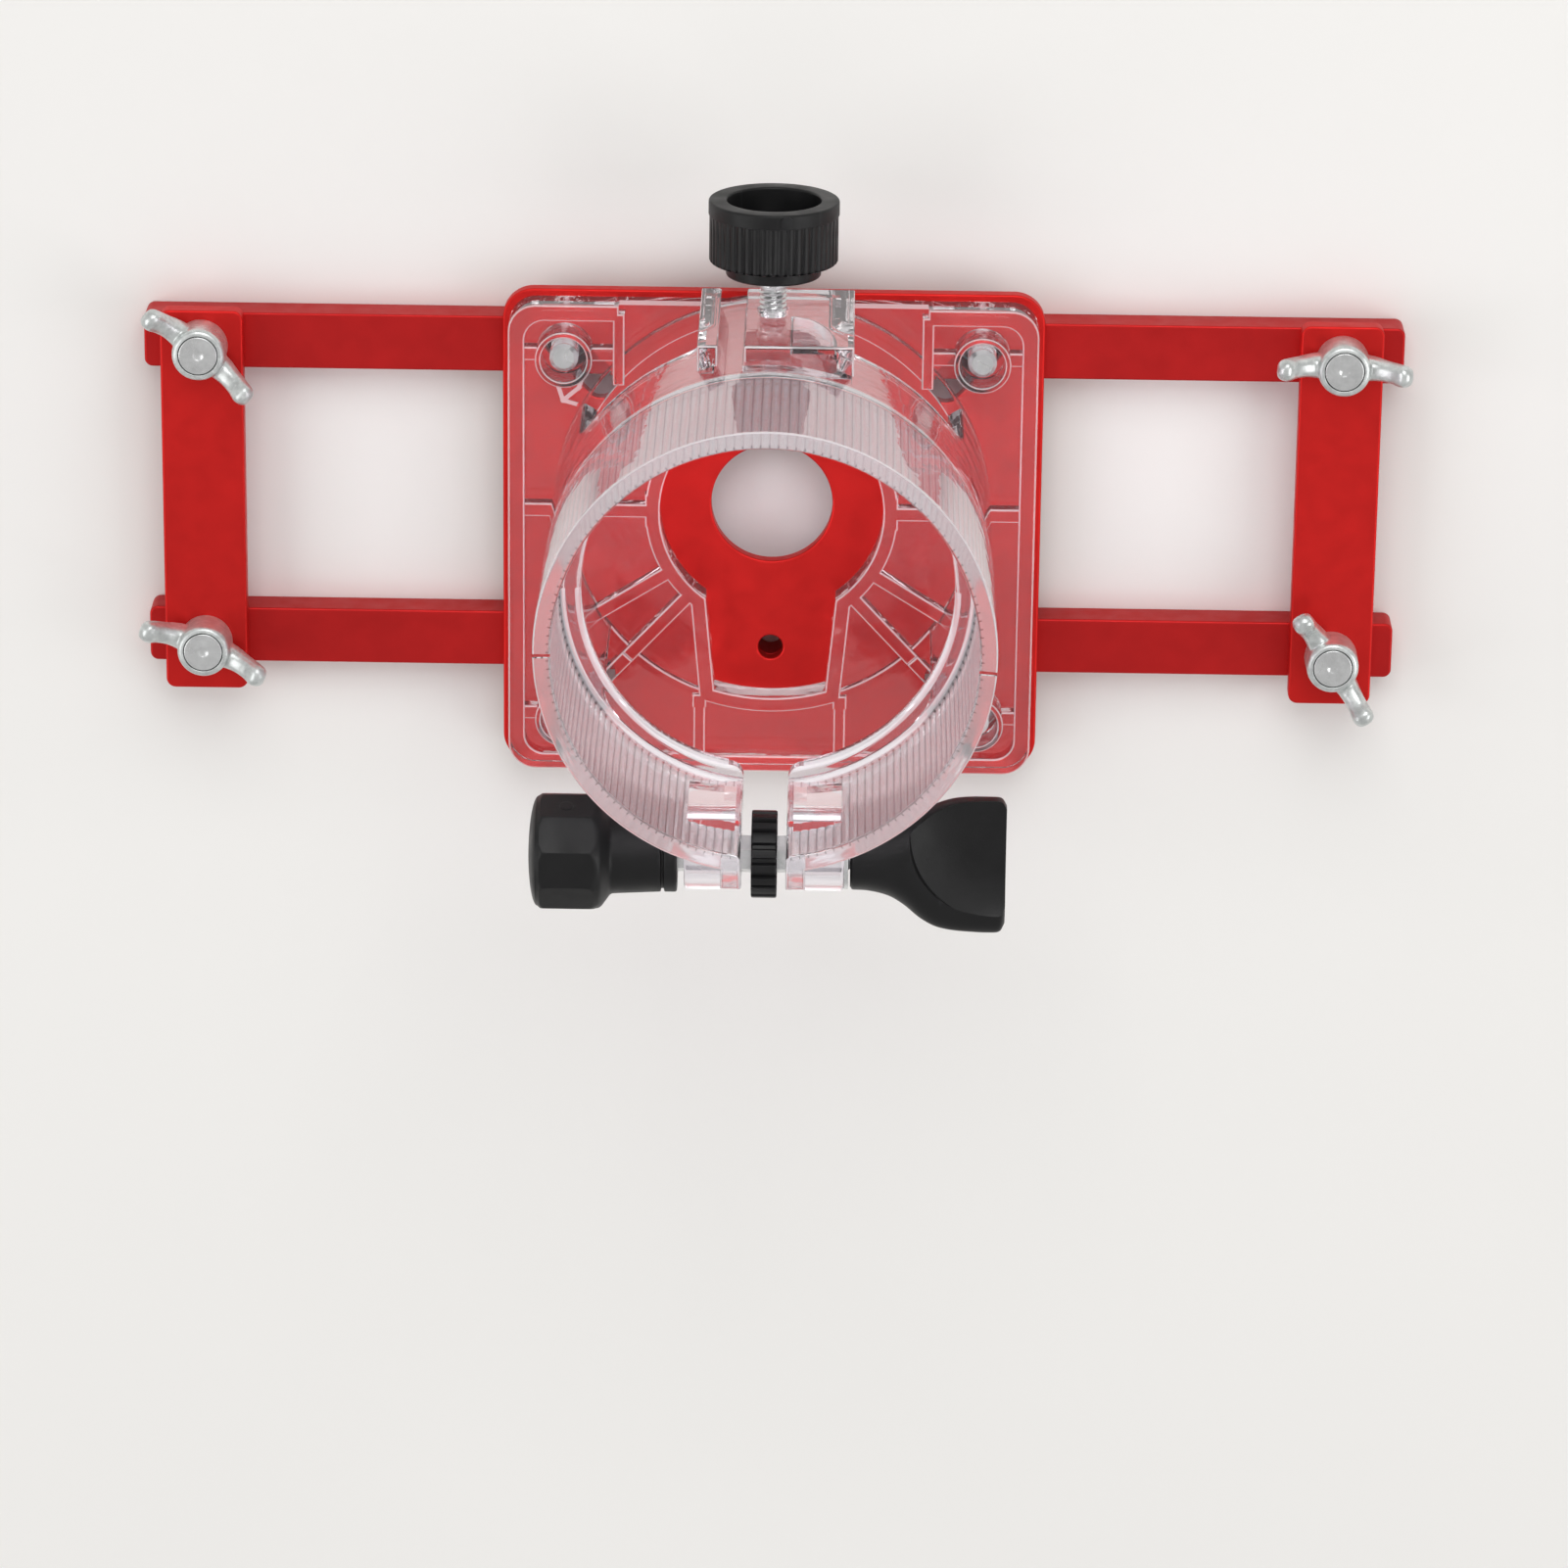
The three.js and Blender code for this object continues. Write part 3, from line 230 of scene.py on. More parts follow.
class RouterBaseKnobSizes(bpy.types.PropertyGroup):
    """Sizes of the black knobs and the lever."""
    facets: IntProperty(name="Facets", description="Facets of the depth knob", default=10, min=6, max=16)
    flutes: IntProperty(name="Flutes", description="Flutes of the guide knob", default=46, min=20, max=80)
    flute_depth: length("Flute depth", "Depth of the guide knob's flutes", 0.45)
    teeth: IntProperty(name="Teeth", description="Teeth of the pinion", default=18, min=10, max=30)
    tooth_depth: length("Tooth depth", "Depth of the pinion's teeth", 0.75)
    hex_flats: length("Hexagon", "Across the flats of the adjuster shaft", 5.3)
    play: length("Play", "Play round the shaft in its pockets", 0.15)
    thread_radius: length("Shaft thread", "Radius of the adjuster shaft's threaded end", 2.4)
    grip_length: length("Grip length", "Length of the depth knob's faceted grip", 9.9)
    grip_dome: length("Grip dome", "Height of the depth knob's domed end", 1.5)
    knob_neck: length("Knob neck", "Radius of the depth knob's neck", 6.5)
    knob_collar: length("Knob collar", "Radius of the depth knob's collar", 6.1)
    lever_neck: length("Lever neck", "Radius of the lever's round end", 5.35)
    blade_front: length("Blade front", "From the shaft's axis to the blade's front edge", 12.2)
    blade_rear: length("Blade rear", "From the shaft's axis to the blade's rear edge", 9.7)
    blade_thickness: length("Blade thickness", "Thickness of the lever's blade", 7)
    dish_radius: length("Dish radius", "Radius of the dishes in the blade", 14.2)
    dish_depth: length("Dish depth", "Depth of the dishes in the blade", 2.5)
    dish_along: length("Dish place", "From the lever's round end to the dishes' centres", 23.5)
    dish_rear: length("Dish offset", "From the shaft's axis to the dishes' centres", 4.9)
    cup_radius: length("Cup radius", "Radius of the cup in the guide knob", 7.4)
    cup_depth: length("Cup depth", "Depth of the cup in the guide knob", 4.5)
    guide_thread: length("Guide thread", "Radius of the guide screw", 2.2)


class RouterBaseFinishes(bpy.types.PropertyGroup):
    """Colours of the finishes."""
    red: colour("Red", "Anodised plate and cross bars", (0.66, 0.019, 0.017))
    dark_red: colour("Dark red", "Anodised rails", (0.55, 0.018, 0.018))
    clear: colour("Clear", "Tint of the clear moulding", (0.97, 0.94, 0.97))
    black: colour("Black", "Moulded knobs", (0.0055, 0.0055, 0.006))
    zinc: colour("Zinc", "Die-cast wings", (0.70, 0.73, 0.72))
    steel: colour("Steel", "Screws and shaft", (0.74, 0.75, 0.75))
    floor: colour("Floor", "The studio floor", (0.82, 0.81, 0.79))


class RouterBaseSettings(bpy.types.PropertyGroup):
    """All settings of the trim router base."""
    clear: PointerProperty(type=RouterBaseClearSizes)
    metal: PointerProperty(type=RouterBaseMetalSizes)
    knobs: PointerProperty(type=RouterBaseKnobSizes)
    finishes: PointerProperty(type=RouterBaseFinishes)


# Outlines, as lists of 2-D points that run anticlockwise


def arc(x, y, radius, start, end, steps):
    """Points on an arc, its angles in degrees."""
    angles = [math.radians(start + (end - start) * i / steps) for i in range(steps + 1)]
    return [(x + radius * math.cos(a), y + radius * math.sin(a)) for a in angles]


def oblong(x0, x1, y0, y1):
    """A rectangle with sharp corners."""
    return [(x0, y0), (x1, y0), (x1, y1), (x0, y1)]


def rectangle(x0, x1, y0, y1, radius, steps):
    """A rectangle with round corners."""
    centres = oblong(x0 + radius, x1 - radius, y0 + radius, y1 - radius)
    order = ((1, -90), (2, 0), (3, 90), (0, 180))
    return [point for i, start in order for point in arc(*centres[i], radius, start, start + 90, steps)]


def circle(x, y, radius, steps=48):
    """A full circle."""
    return arc(x, y, radius, 0, 360, steps)[:-1]


def stadium(x, y, width, over_all, degrees, steps=12):
    """A slot with round ends that starts at a centre and runs off at an angle."""
    reach = over_all - width
    turn = math.radians(degrees)
    far_x, far_y = x + reach * math.cos(turn), y + reach * math.sin(turn)
    return [
        *arc(far_x, far_y, width / 2, degrees - 90, degrees + 90, steps),
        *arc(x, y, width / 2, degrees + 90, degrees + 270, steps),
    ]


def grown(outline, distance):
    """The outline moved outwards by a distance, mitred at its corners."""
    result = []
    for i, point in enumerate(outline):
        here = Vector(point)
        before = (here - Vector(outline[i - 1])).normalized()
        after = (Vector(outline[(i + 1) % len(outline)]) - here).normalized()
        normal = Vector((before.y + after.y, -before.x - after.x)).normalized()
        mitre = max(SHARPEST_MITRE, normal.dot(Vector((before.y, -before.x))))
        result.append(tuple(here + normal * (distance / mitre)))
    return result


# Solids


def new_solid(name, vertices, faces):
    """A closed mesh object with its faces pointing out."""
    mesh = bpy.data.meshes.new(name)
    mesh.from_pydata([tuple(v) for v in vertices], [], faces)
    shape = bmesh.new()
    shape.from_mesh(mesh)
    bmesh.ops.remove_doubles(shape, verts=shape.verts, dist=WELD)
    bmesh.ops.recalc_face_normals(shape, faces=shape.faces)
    shape.to_mesh(mesh)
    shape.free()
    piece = bpy.data.objects.new(name, mesh)
    bpy.context.scene.collection.objects.link(piece)
    return piece


def stacked(name, rings, closed=False, ladder=False):
    """A mesh through rings of points with equal counts, capped at both ends or closed on itself.

    A ladder cap joins the outline's first half to its second half rung by rung, as a bent cap needs.
    """
    count = len(rings[0])
    vertices = [point for ring in rings for point in ring]
    faces = []
    spans = len(rings) if closed else len(rings) - 1
    for r in range(spans):
        low, high = r * count, ((r + 1) % len(rings)) * count
        for i in range(count):
            k = (i + 1) % count
            faces.append((low + i, low + k, high + k, high + i))
    last = len(vertices) - count
    if ladder:
        for i in range(count // 2 - 1):
            rung = (i, i + 1, count - 2 - i, count - 1 - i)
            faces.append(tuple(reversed(rung)))
            faces.append(tuple(last + k for k in rung))
    elif not closed:
        faces.append(tuple(reversed(range(count))))
        faces.append(tuple(range(last, len(vertices))))
    return new_solid(name, vertices, faces)


def rounding(edge, steps=4):
    """(inset, depth) pairs along a quarter round, from its side to its flat."""
    angles = [i / steps * math.pi / 2 for i in range(steps + 1)]
    return [(edge * (1 - math.cos(a)), edge * (1 - math.sin(a))) for a in angles]


def levelled(name, outline, levels):
    """A solid through (growth, height) levels of an outline."""
    return stacked(name, [[(x, y, z) for x, y in grown(outline, growth)] for growth, z in levels])


def slab(name, outline, z0, z1, top=0, bottom=0):
    """An outline raised from z0 to z1, with its top and bottom edges rounded."""
    low = [(-inset, z0 + depth) for inset, depth in reversed(rounding(bottom))] if bottom else [(0, z0)]
    high = [(-inset, z1 - depth) for inset, depth in rounding(top)] if top else [(0, z1)]
    return levelled(name, outline, low + high)


def pocket(name, outline, z0, z1, flare=0, flare_low=0):
    """A cutter whose mouths at z0 and z1 can widen, so that the edges it leaves are rounded."""
    low = [(0, z0)]
    if flare_low:
        low = [(flare_low, z0 - OVERRUN)]
        low += [(inset, z0 + depth) for inset, depth in reversed(rounding(flare_low))]
    high = [(inset, z1 - depth) for inset, depth in rounding(flare)] if flare else []
    return levelled(name, outline, low + high + [(flare, z1 + OVERRUN)])


def turned(name, profile, sides, shaped=None, closed=False):
    """A turned solid about Z from (radius, height) pairs, its radius changed by shaped."""
    rings = []
    for radius, height in profile:
        ring = []
        for i in range(sides):
            angle = i / sides * math.tau
            reach = shaped(angle, radius, height) if shaped and radius > 0 else radius
            ring.append((reach * math.cos(angle), reach * math.sin(angle), height))
        rings.append(ring)
    return stacked(name, rings, closed)


def swept(name, stations, sides):
    """A solid through superellipses: centre, across, up, reach forth and back, half height and power."""
    rings = []
    for centre, across, up, forth, back, half_height, power in stations:
        ring = []
        for i in range(sides):
            angle = i / sides * math.tau
            c, s = math.cos(angle), math.sin(angle)
            u = (forth if c > 0 else back) * math.copysign(abs(c) ** (2 / power), c)
            v = half_height * math.copysign(abs(s) ** (2 / power), s)
            ring.append(Vector(centre) + Vector(across) * u + Vector(up) * v)
        rings.append(ring)
    return stacked(name, rings)


def eased(table, place):
    """The values of a table of rows (place, value, ...) at a place, on a smooth curve."""
    last = len(table) - 2
    i = 0
    while i < last and place > table[i + 1][0]:
        i += 1
    here, after = table[i], table[i + 1]
    before, beyond = table[max(0, i - 1)], table[min(last + 1, i + 2)]
    span = after[0] - here[0]
    t = max(0.0, min(1.0, (place - here[0]) / span))
    values = []
    for k in range(1, len(here)):
        slope0 = (after[k] - before[k]) / max(1e-9, after[0] - before[0]) * span
        slope1 = (beyond[k] - here[k]) / max(1e-9, beyond[0] - here[0]) * span
        values.append(
            (2 * t ** 3 - 3 * t ** 2 + 1) * here[k] + (t ** 3 - 2 * t ** 2 + t) * slope0
            + (3 * t ** 2 - 2 * t ** 3) * after[k] + (t ** 3 - t ** 2) * slope1)
    return values


def threaded(pitch, depth, z0, z1):
    """Shapes a turned shank with a thread between two heights."""

    def shaped(angle, radius, height):
        if not z0 < height < z1:
            return radius
        fade = min(1, (height - z0) / pitch, (z1 - height) / pitch)
        phase = (height / pitch - angle / math.tau) % 1
        return radius - depth * fade * abs(2 * phase - 1)

    return shaped


def thread_heights(z0, z1, pitch):
    """The heights at which a threaded shank needs a ring, six to a turn of the thread."""
    count = math.ceil((z1 - z0) / pitch * 6)
    return [z0 + (z1 - z0) * i / count for i in range(count + 1)]


def fluted(count, depth, z0, z1):
    """Shapes a turned grip with narrow flutes between two heights."""
    narrowness = 2.5

    def shaped(angle, radius, height):
        if not z0 <= height <= z1:
            return radius
        return radius - depth * (0.5 + 0.5 * math.cos(angle * count)) ** narrowness

    return shaped


def toothed(count, depth, gap):
    """Shapes a wheel with broad teeth; the gap is a share of the pitch."""
    foot, flank = gap * 0.6, gap * 0.55

    def shaped(angle, radius, height):
        offset = abs((angle * count / math.tau) % 1 - 0.5) * 2
        rise = max(0.0, min(1.0, (offset - foot) / flank))
        return radius - depth * (1 - rise * rise * (3 - 2 * rise))

    return shaped


def faceted(count, apothem, softness, z0):
    """Shapes a turned grip with flat facets above a height."""

    def shaped(angle, radius, height):
        if height < z0:
            return radius
        step = math.tau / count
        offset = (angle + step / 2) % step - step / 2
        flat = apothem / math.cos(offset)
        blend = max(0.0, min(1.0, 0.5 + 0.5 * (flat - radius) / softness))
        return flat + (radius - flat) * blend - softness * blend * (1 - blend)

    return shaped


def rounded_profile(corners, edge, steps=4):
    """A profile of (radius, height) corners whose inner corners are rounded."""
    points = [Vector(corners[0])]
    for i in range(1, len(corners) - 1):
        before, here, after = (Vector(corners[k]) for k in (i - 1, i, i + 1))
        inward, outward = (before - here), (after - here)
        reach = min(edge, inward.length * CORNER_SHARE, outward.length * CORNER_SHARE)
        start, end = here + inward.normalized() * reach, here + outward.normalized() * reach
        for k in range(steps + 1):
            t = k / steps
            points.append(start * (1 - t) ** 2 + here * 2 * t * (1 - t) + end * t ** 2)
    points.append(Vector(corners[-1]))
    return [tuple(p) for p in points]


def settle(piece):
    """Turns a piece's modifiers into its mesh."""
    bpy.context.view_layer.update()
    graph = bpy.context.evaluated_depsgraph_get()
    old = piece.data
    piece.data = bpy.data.meshes.new_from_object(piece.evaluated_get(graph))
    piece.modifiers.clear()
    bpy.data.meshes.remove(old)
    return piece


def discard(piece):
    """Removes a piece that isn't needed any more, with its mesh."""
    mesh = piece.data
    bpy.data.objects.remove(piece)
    bpy.data.meshes.remove(mesh)


def combined(piece, tools, operation):
    """The piece with each tool joined to it or cut from it."""
    for tool in tools:
        boolean = piece.modifiers.new(operation, "BOOLEAN")
        boolean.solver = "MANIFOLD"
        boolean.operation = operation
        boolean.object = tool
        settle(piece)
        discard(tool)
        if not piece.data.polygons:
            raise RuntimeError(f"a {operation} left nothing of {piece.name}")
    return piece


def joined(piece, *tools):
    """The piece with the tools joined to it."""
    return combined(piece, tools, "UNION")


def cut(piece, *tools):
    """The piece with the tools cut from it."""
    return combined(piece, tools, "DIFFERENCE")


def moved(piece, x=0, y=0, z=0, turn=None):
    """The piece's mesh turned by a matrix, then shifted."""
    matrix = Matrix.Translation((x, y, z))
    if turn is not None:
        matrix = matrix @ turn
    piece.data.transform(matrix)
    return piece


def spin(degrees, axis="Z"):
    """A turn about an axis, in degrees."""
    return Matrix.Rotation(math.radians(degrees), 4, axis)


ALONG_X, ALONG_MINUS_X, ALONG_Y = spin(90, "Y"), spin(-90, "Y"), spin(-90, "X")


def finished(piece, node, crease=32):
    """Shades a piece, gives it its CAD node's finish and body, and puts it in the node's place."""
    slot = SLOTS[node]
    piece.data.materials.clear()
    piece.data.materials.append(finish(slot))
    for polygon in piece.data.polygons:
        polygon.use_smooth = True
    piece.data.set_sharp_from_angle(angle=math.radians(crease))
    normals = piece.modifiers.new("Face weighted normals", "WEIGHTED_NORMAL")
    normals.keep_sharp = True
    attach(piece, *body_of(frame["nodes"][node]))
    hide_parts(node)
    return piece


def copied(piece, name):
    """A second piece with its own copy of the mesh."""
    twin = bpy.data.objects.new(name, piece.data.copy())
    bpy.context.scene.collection.objects.link(twin)
    return twin


def remeshed(piece, voxel, passes):
    """The piece as one smooth casting."""
    remesh = piece.modifiers.new("Cast skin", "REMESH")
    remesh.mode = "VOXEL"
    remesh.voxel_size = voxel
    smooth = piece.modifiers.new("Tumbled", "SMOOTH")
    smooth.factor = 0.5
    smooth.iterations = passes
    return settle(piece)


# Nodes, which are fed by values or by the sockets of other nodes


def feed(tree, node, inputs):
    """Gives a node its inputs by name or number: a socket is linked, anything else is the value."""
    for key, given in inputs.items():
        if isinstance(given, bpy.types.NodeSocket):
            tree.links.new(given, node.inputs[key])
        else:
            node.inputs[key].default_value = given
    return node


def add_node(tree, kind, inputs=None, **settings):
    """A new node with its settings and inputs."""
    node = tree.nodes.new(kind)
    for key, value in settings.items():
        setattr(node, key, value)
    return feed(tree, node, inputs or {})


def maths(tree, operation, *terms):
    """The result of a sum on numbers."""
    node = add_node(tree, "ShaderNodeMath", dict(enumerate(terms)), operation=operation)
    return node.outputs["Value"]


def vector_maths(tree, operation, *terms, output="Vector"):
    """The result of a sum on vectors."""
    node = add_node(tree, "ShaderNodeVectorMath", dict(enumerate(terms)), operation=operation)
    return node.outputs[output]


def map_range(tree, value, from_min, from_max, to_min=0.0, to_max=1.0):
    """A value carried from one range to another."""
    ranges = {"From Min": from_min, "From Max": from_max, "To Min": to_min, "To Max": to_max}
    return add_node(tree, "ShaderNodeMapRange", {"Value": value, **ranges}).outputs["Result"]


def mixed(tree, factor, first, second, kind="RGBA"):
    """Two colours or numbers mixed by a factor."""
    inputs = {"Factor": factor, "A": first, "B": second}
    return add_node(tree, "ShaderNodeMix", inputs, data_type=kind).outputs["Result"]


def place_on(tree):
    """The place on the object."""
    return add_node(tree, "ShaderNodeTexCoord").outputs["Object"]


def noise(tree, scale, detail, roughness):
    """Noise over the object."""
    inputs = {"Vector": place_on(tree), "Scale": scale, "Detail": detail, "Roughness": roughness}
    return add_node(tree, "ShaderNodeTexNoise", inputs).outputs["Fac"]


def bumped(tree, height, strength, distance):
    """The normal of a surface that a height is laid over."""
    inputs = {"Height": height, "Strength": strength, "Distance": distance}
    return add_node(tree, "ShaderNodeBump", inputs).outputs["Normal"]


# Effects, each a node group that is built once

FLOAT, COLOUR, VECTOR = "NodeSocketFloat", "NodeSocketColor", "NodeSocketVector"


def new_group(name, inputs, outputs):
    """A new shader group, its input sockets and its output node."""
    group = bpy.data.node_groups.new(name, "ShaderNodeTree")
    for label, kind, default in inputs:
        socket = group.interface.new_socket(name=label, in_out="INPUT", socket_type=kind)
        socket.default_value = default
    for label, kind in outputs:
        group.interface.new_socket(name=label, in_out="OUTPUT", socket_type=kind)
    return group, group.nodes.new("NodeGroupInput").outputs, group.nodes.new("NodeGroupOutput")


def fine_grain(name):
    """Fine pits of a moulded or blasted surface as a height, and slow changes as a mask."""
    group, given, leave = new_group(name, [("Scale", FLOAT, 3000)], [("Height", FLOAT), ("Mask", FLOAT)])
    slower = maths(group, "MULTIPLY", given["Scale"], 0.06)
    feed(group, leave, {
        "Height": noise(group, given["Scale"], detail=3.0, roughness=0.6),
        "Mask": noise(group, slower, detail=2.0, roughness=0.5),
    })
    return group


def edge_wear(name):
    """Convex edges, broken up by noise, as a mask."""
    group, given, leave = new_group(
        name, [("Start", FLOAT, 0.53), ("Full", FLOAT, 0.62), ("Amount", FLOAT, 0.5)], [("Mask", FLOAT)])
    shape = add_node(group, "ShaderNodeNewGeometry").outputs["Pointiness"]
    convex = map_range(group, shape, given["Start"], given["Full"])
    broken = maths(group, "MULTIPLY", convex, noise(group, scale=900.0, detail=4.0, roughness=0.7))
    feed(group, leave, {"Mask": maths(group, "MULTIPLY", broken, given["Amount"])})
    return group


def mottling(name):
    """Slow changes between two colours over a surface, with a third along its edges."""
    group, given, leave = new_group(
        name,
        [("First", COLOUR, (1, 1, 1, 1)), ("Second", COLOUR, (0, 0, 0, 1)), ("Scale", FLOAT, 60),
         ("Edge", COLOUR, (1, 1, 1, 1)), ("Edge Mask", FLOAT, 0)],
        [("Colour", COLOUR)])
    clouds = noise(group, given["Scale"], detail=5.0, roughness=0.62)
    spots = map_range(group, clouds, from_min=0.3, from_max=0.7)
    body = mixed(group, spots, given["First"], given["Second"])
    feed(group, leave, {"Colour": mixed(group, given["Edge Mask"], body, given["Edge"])})
    return group


def clamp_ring_zone(name):
    """Masks of the clamp ring's lined inner face, of the deepest parts of its upright grooves, which get
    painted shade, and of its fine level lines.
    """
    group, given, leave = new_group(
        name,
        [("Axis", VECTOR, (0, 0, 0)), ("Start", FLOAT, 0.0546), ("Inner Radius", FLOAT, 0.033),
         ("Line Scale", FLOAT, 12000), ("Grooves", FLOAT, 155)],
        [("Inner", FLOAT), ("Grooves", FLOAT), ("Lines", FLOAT)])
    about = vector_maths(group, "SUBTRACT", place_on(group), given["Axis"])
    level = vector_maths(group, "MULTIPLY", about, (1, 1, 0))
    reach = vector_maths(group, "LENGTH", level, output="Value")
    parts = add_node(group, "ShaderNodeSeparateXYZ", {"Vector": about}).outputs
    above = maths(group, "GREATER_THAN", parts["Z"], given["Start"])
    inner = maths(group, "MULTIPLY", above, maths(group, "LESS_THAN", reach, given["Inner Radius"]))
    angle = maths(group, "ARCTAN2", parts["Y"], parts["X"])
    swing = maths(group, "COSINE", maths(group, "MULTIPLY", angle, given["Grooves"]))
    # The grooves' deepest parts, where the frosted finish paints shade
    grooves = map_range(group, swing, from_min=-0.74, from_max=-0.97)
    wave = maths(group, "SINE", maths(group, "MULTIPLY", parts["Z"], given["Line Scale"]))
    feed(group, leave, {
        "Inner": inner,
        "Grooves": maths(group, "MULTIPLY", grooves, inner),
        "Lines": maths(group, "MULTIPLY", wave, inner),
    })
    return group


EFFECTS = {
    "Fine Grain": fine_grain,
    "Edge Wear": edge_wear,
    "Mottling": mottling,
    "Clamp Ring Zone": clamp_ring_zone,
}


def effect(tree, name, inputs):
    """The output sockets of an effect placed in a material with its own values."""
    group = bpy.data.node_groups.get(name) or EFFECTS[name](name)
    return feed(tree, add_node(tree, "ShaderNodeGroup", node_tree=group), inputs).outputs


# Materials


def opaque(rgb, factor=1.0):
    """A colour with full alpha, scaled."""
    return (*[min(1.0, channel * factor) for channel in rgb], 1.0)


def start_material(name, inputs):
    """A material with only a Principled shader and its output."""
    material = bpy.data.materials.new(name)
    material.use_nodes = True
    tree = material.node_tree
    tree.nodes.clear()
    surface = add_node(tree, "ShaderNodeBsdfPrincipled", inputs)
    add_node(tree, "ShaderNodeOutputMaterial", {"Surface": surface.outputs["BSDF"]})
    return material, tree, surface


def worn_surface(name, inputs, rgb, darker, edge, wear, mottle, grain, strength, depth, rough):
    """A mottled colour with paler edges, and a grain that also varies the roughness."""
    material, tree, surface = start_material(name, inputs)
    mask = effect(tree, "Edge Wear", {"Amount": wear})["Mask"]
    tones = {"First": opaque(rgb), "Second": opaque(rgb, darker), "Edge": opaque(edge)}
    pits = effect(tree, "Fine Grain", {"Scale": grain})
    feed(tree, surface, {
        "Base Color": effect(tree, "Mottling", {**tones, "Scale": mottle, "Edge Mask": mask})["Colour"],
        "Normal": bumped(tree, pits["Height"], strength, depth),
        "Roughness": map_range(tree, pits["Mask"], 0.3, 0.7, *rough),
    })
    return material


def anodised(name, rgb):
    """Blasted and dyed aluminium: satin, faintly mottled, paler along its edges."""
    pale = [min(1, channel * 1.15 + 0.03) for channel in rgb]
    inputs = {"Metallic": 0.8, "IOR": 1.45, "Specular Tint": (1, 0.85, 0.85, 1)}
    return worn_surface(name, inputs, rgb, darker=0.86, edge=pale, wear=0.4, mottle=60.0,
                        grain=5200.0, strength=0.35, depth=0.02 * MM, rough=(0.40, 0.52))


def black_plastic(name, rgb):
    """Moulded black nylon with a fine eroded grain."""
    return worn_surface(name, {"Specular IOR Level": 0.3}, rgb, darker=0.7, edge=(0.03, 0.031, 0.034),
                        wear=0.45, mottle=140.0, grain=3400.0, strength=0.5, depth=0.035 * MM,
                        rough=(0.36, 0.52))


def die_cast(name, rgb):
    """Tumbled die-cast zinc: soft dents, bright edges."""
    return worn_surface(name, {"Metallic": 0.7}, rgb, darker=0.66, edge=(0.92, 0.93, 0.92),
                        wear=0.6, mottle=700.0, grain=1500.0, strength=0.5, depth=0.05 * MM,
                        rough=(0.26, 0.44))


def plated_steel(name, rgb):
    """Bright plated steel with fine turning marks."""
    return worn_surface(name, {"Metallic": 0.85}, rgb, darker=0.8, edge=(0.92, 0.92, 0.92),
                        wear=0.6, mottle=500.0, grain=2600.0, strength=0.35, depth=0.02 * MM,
                        rough=(0.2, 0.34))


def see_through(name, rgb, transmission, lamps):
    """A clear plastic that lamps shine through instead of casting a full shadow."""
    inputs = {"Base Color": opaque(rgb), "IOR": 1.49, "Transmission Weight": transmission}
    material, tree, surface = start_material(name, inputs)
    passing = add_node(tree, "ShaderNodeBsdfTransparent", {"Color": opaque(rgb, lamps)})
    shadow = add_node(tree, "ShaderNodeLightPath").outputs["Is Shadow Ray"]
    choice = {0: shadow, 1: surface.outputs["BSDF"], 2: passing.outputs["BSDF"]}
    both = add_node(tree, "ShaderNodeMixShader", choice)
    feed(tree, tree.get_output_node("ALL"), {"Surface": both.outputs["Shader"]})
    return material, tree, surface


def clear_plastic(name, rgb):
    """Clear moulding with faint flow marks."""
    material, tree, surface = see_through(name, rgb, transmission=0.985, lamps=0.97)
    flow = effect(tree, "Fine Grain", {"Scale": 3000.0})["Mask"]
    normal = bumped(tree, flow, strength=0.25, distance=0.25 * MM)
    feed(tree, surface, {"Roughness": 0.02, "Normal": normal})
    return material


def frosted_plastic(name, rgb):
    """The moulding where its tool was textured: milky, with painted shade in its upright grooves, and level
    lines.
    """
    material, tree, surface = see_through(name, rgb, transmission=0.74, lamps=0.93)
    s = bpy.context.scene.router_base.clear
    lined_width = 0.7 * MM
    zone = effect(tree, "Clamp Ring Zone", {
        "Axis": (BIT_X, bit_y(s), 0), "Start": s.ring_bottom, "Inner Radius": s.bore_radius + lined_width,
        "Line Scale": 12600.0, "Grooves": ring_rib_count(s)})
    feed(tree, surface, {
        # Painted shade: the grooves' deepest parts darkened to 0.42 of the tint
        "Base Color": mixed(tree, zone["Grooves"], opaque(rgb), opaque(rgb, factor=0.42)),
        "Roughness": mixed(tree, zone["Inner"], first=0.12, second=0.22, kind="FLOAT"),
        "Normal": bumped(tree, zone["Lines"], strength=0.5, distance=0.04 * MM),
    })
    return material


def painted_highlight_plastic(name, rgb):
    """The moulding's rounded edges in a milkier plastic: a painted highlight for the light that they gather,
    so that they show as pale lines.
    """
    material, tree, surface = see_through(name, rgb, transmission=0.62, lamps=0.9)
    mask = effect(tree, "Fine Grain", {"Scale": 2400.0})["Mask"]
    feed(tree, surface, {"Roughness": map_range(tree, mask, 0, 1, to_min=0.05, to_max=0.3)})
    return material


# The maker and the colour of each finish, by its slot or, for two finishes of the clear base, its place
FINISHES = {
    "red_anodised": (anodised, "red"),
    "dark_red_anodised": (anodised, "dark_red"),
    "clear_plastic": (clear_plastic, "clear"),
    "frosted_ring": (frosted_plastic, "clear"),
    # The painted highlight on the clear base's rounded upper edges and the arrow's tops
    "bright_edge": (painted_highlight_plastic, "clear"),
    "black_plastic": (black_plastic, "black"),
    "zinc": (die_cast, "zinc"),
    "steel": (plated_steel, "steel"),
}


def finish(slot):
    """The material of a finish, made at its first use."""
    make, colour_name = FINISHES[slot]
    colours = bpy.context.scene.router_base.finishes
    name = f"{slot}_finish"
    return bpy.data.materials.get(name) or make(name, getattr(colours, colour_name))


# The clear base, drawn about the bit axis

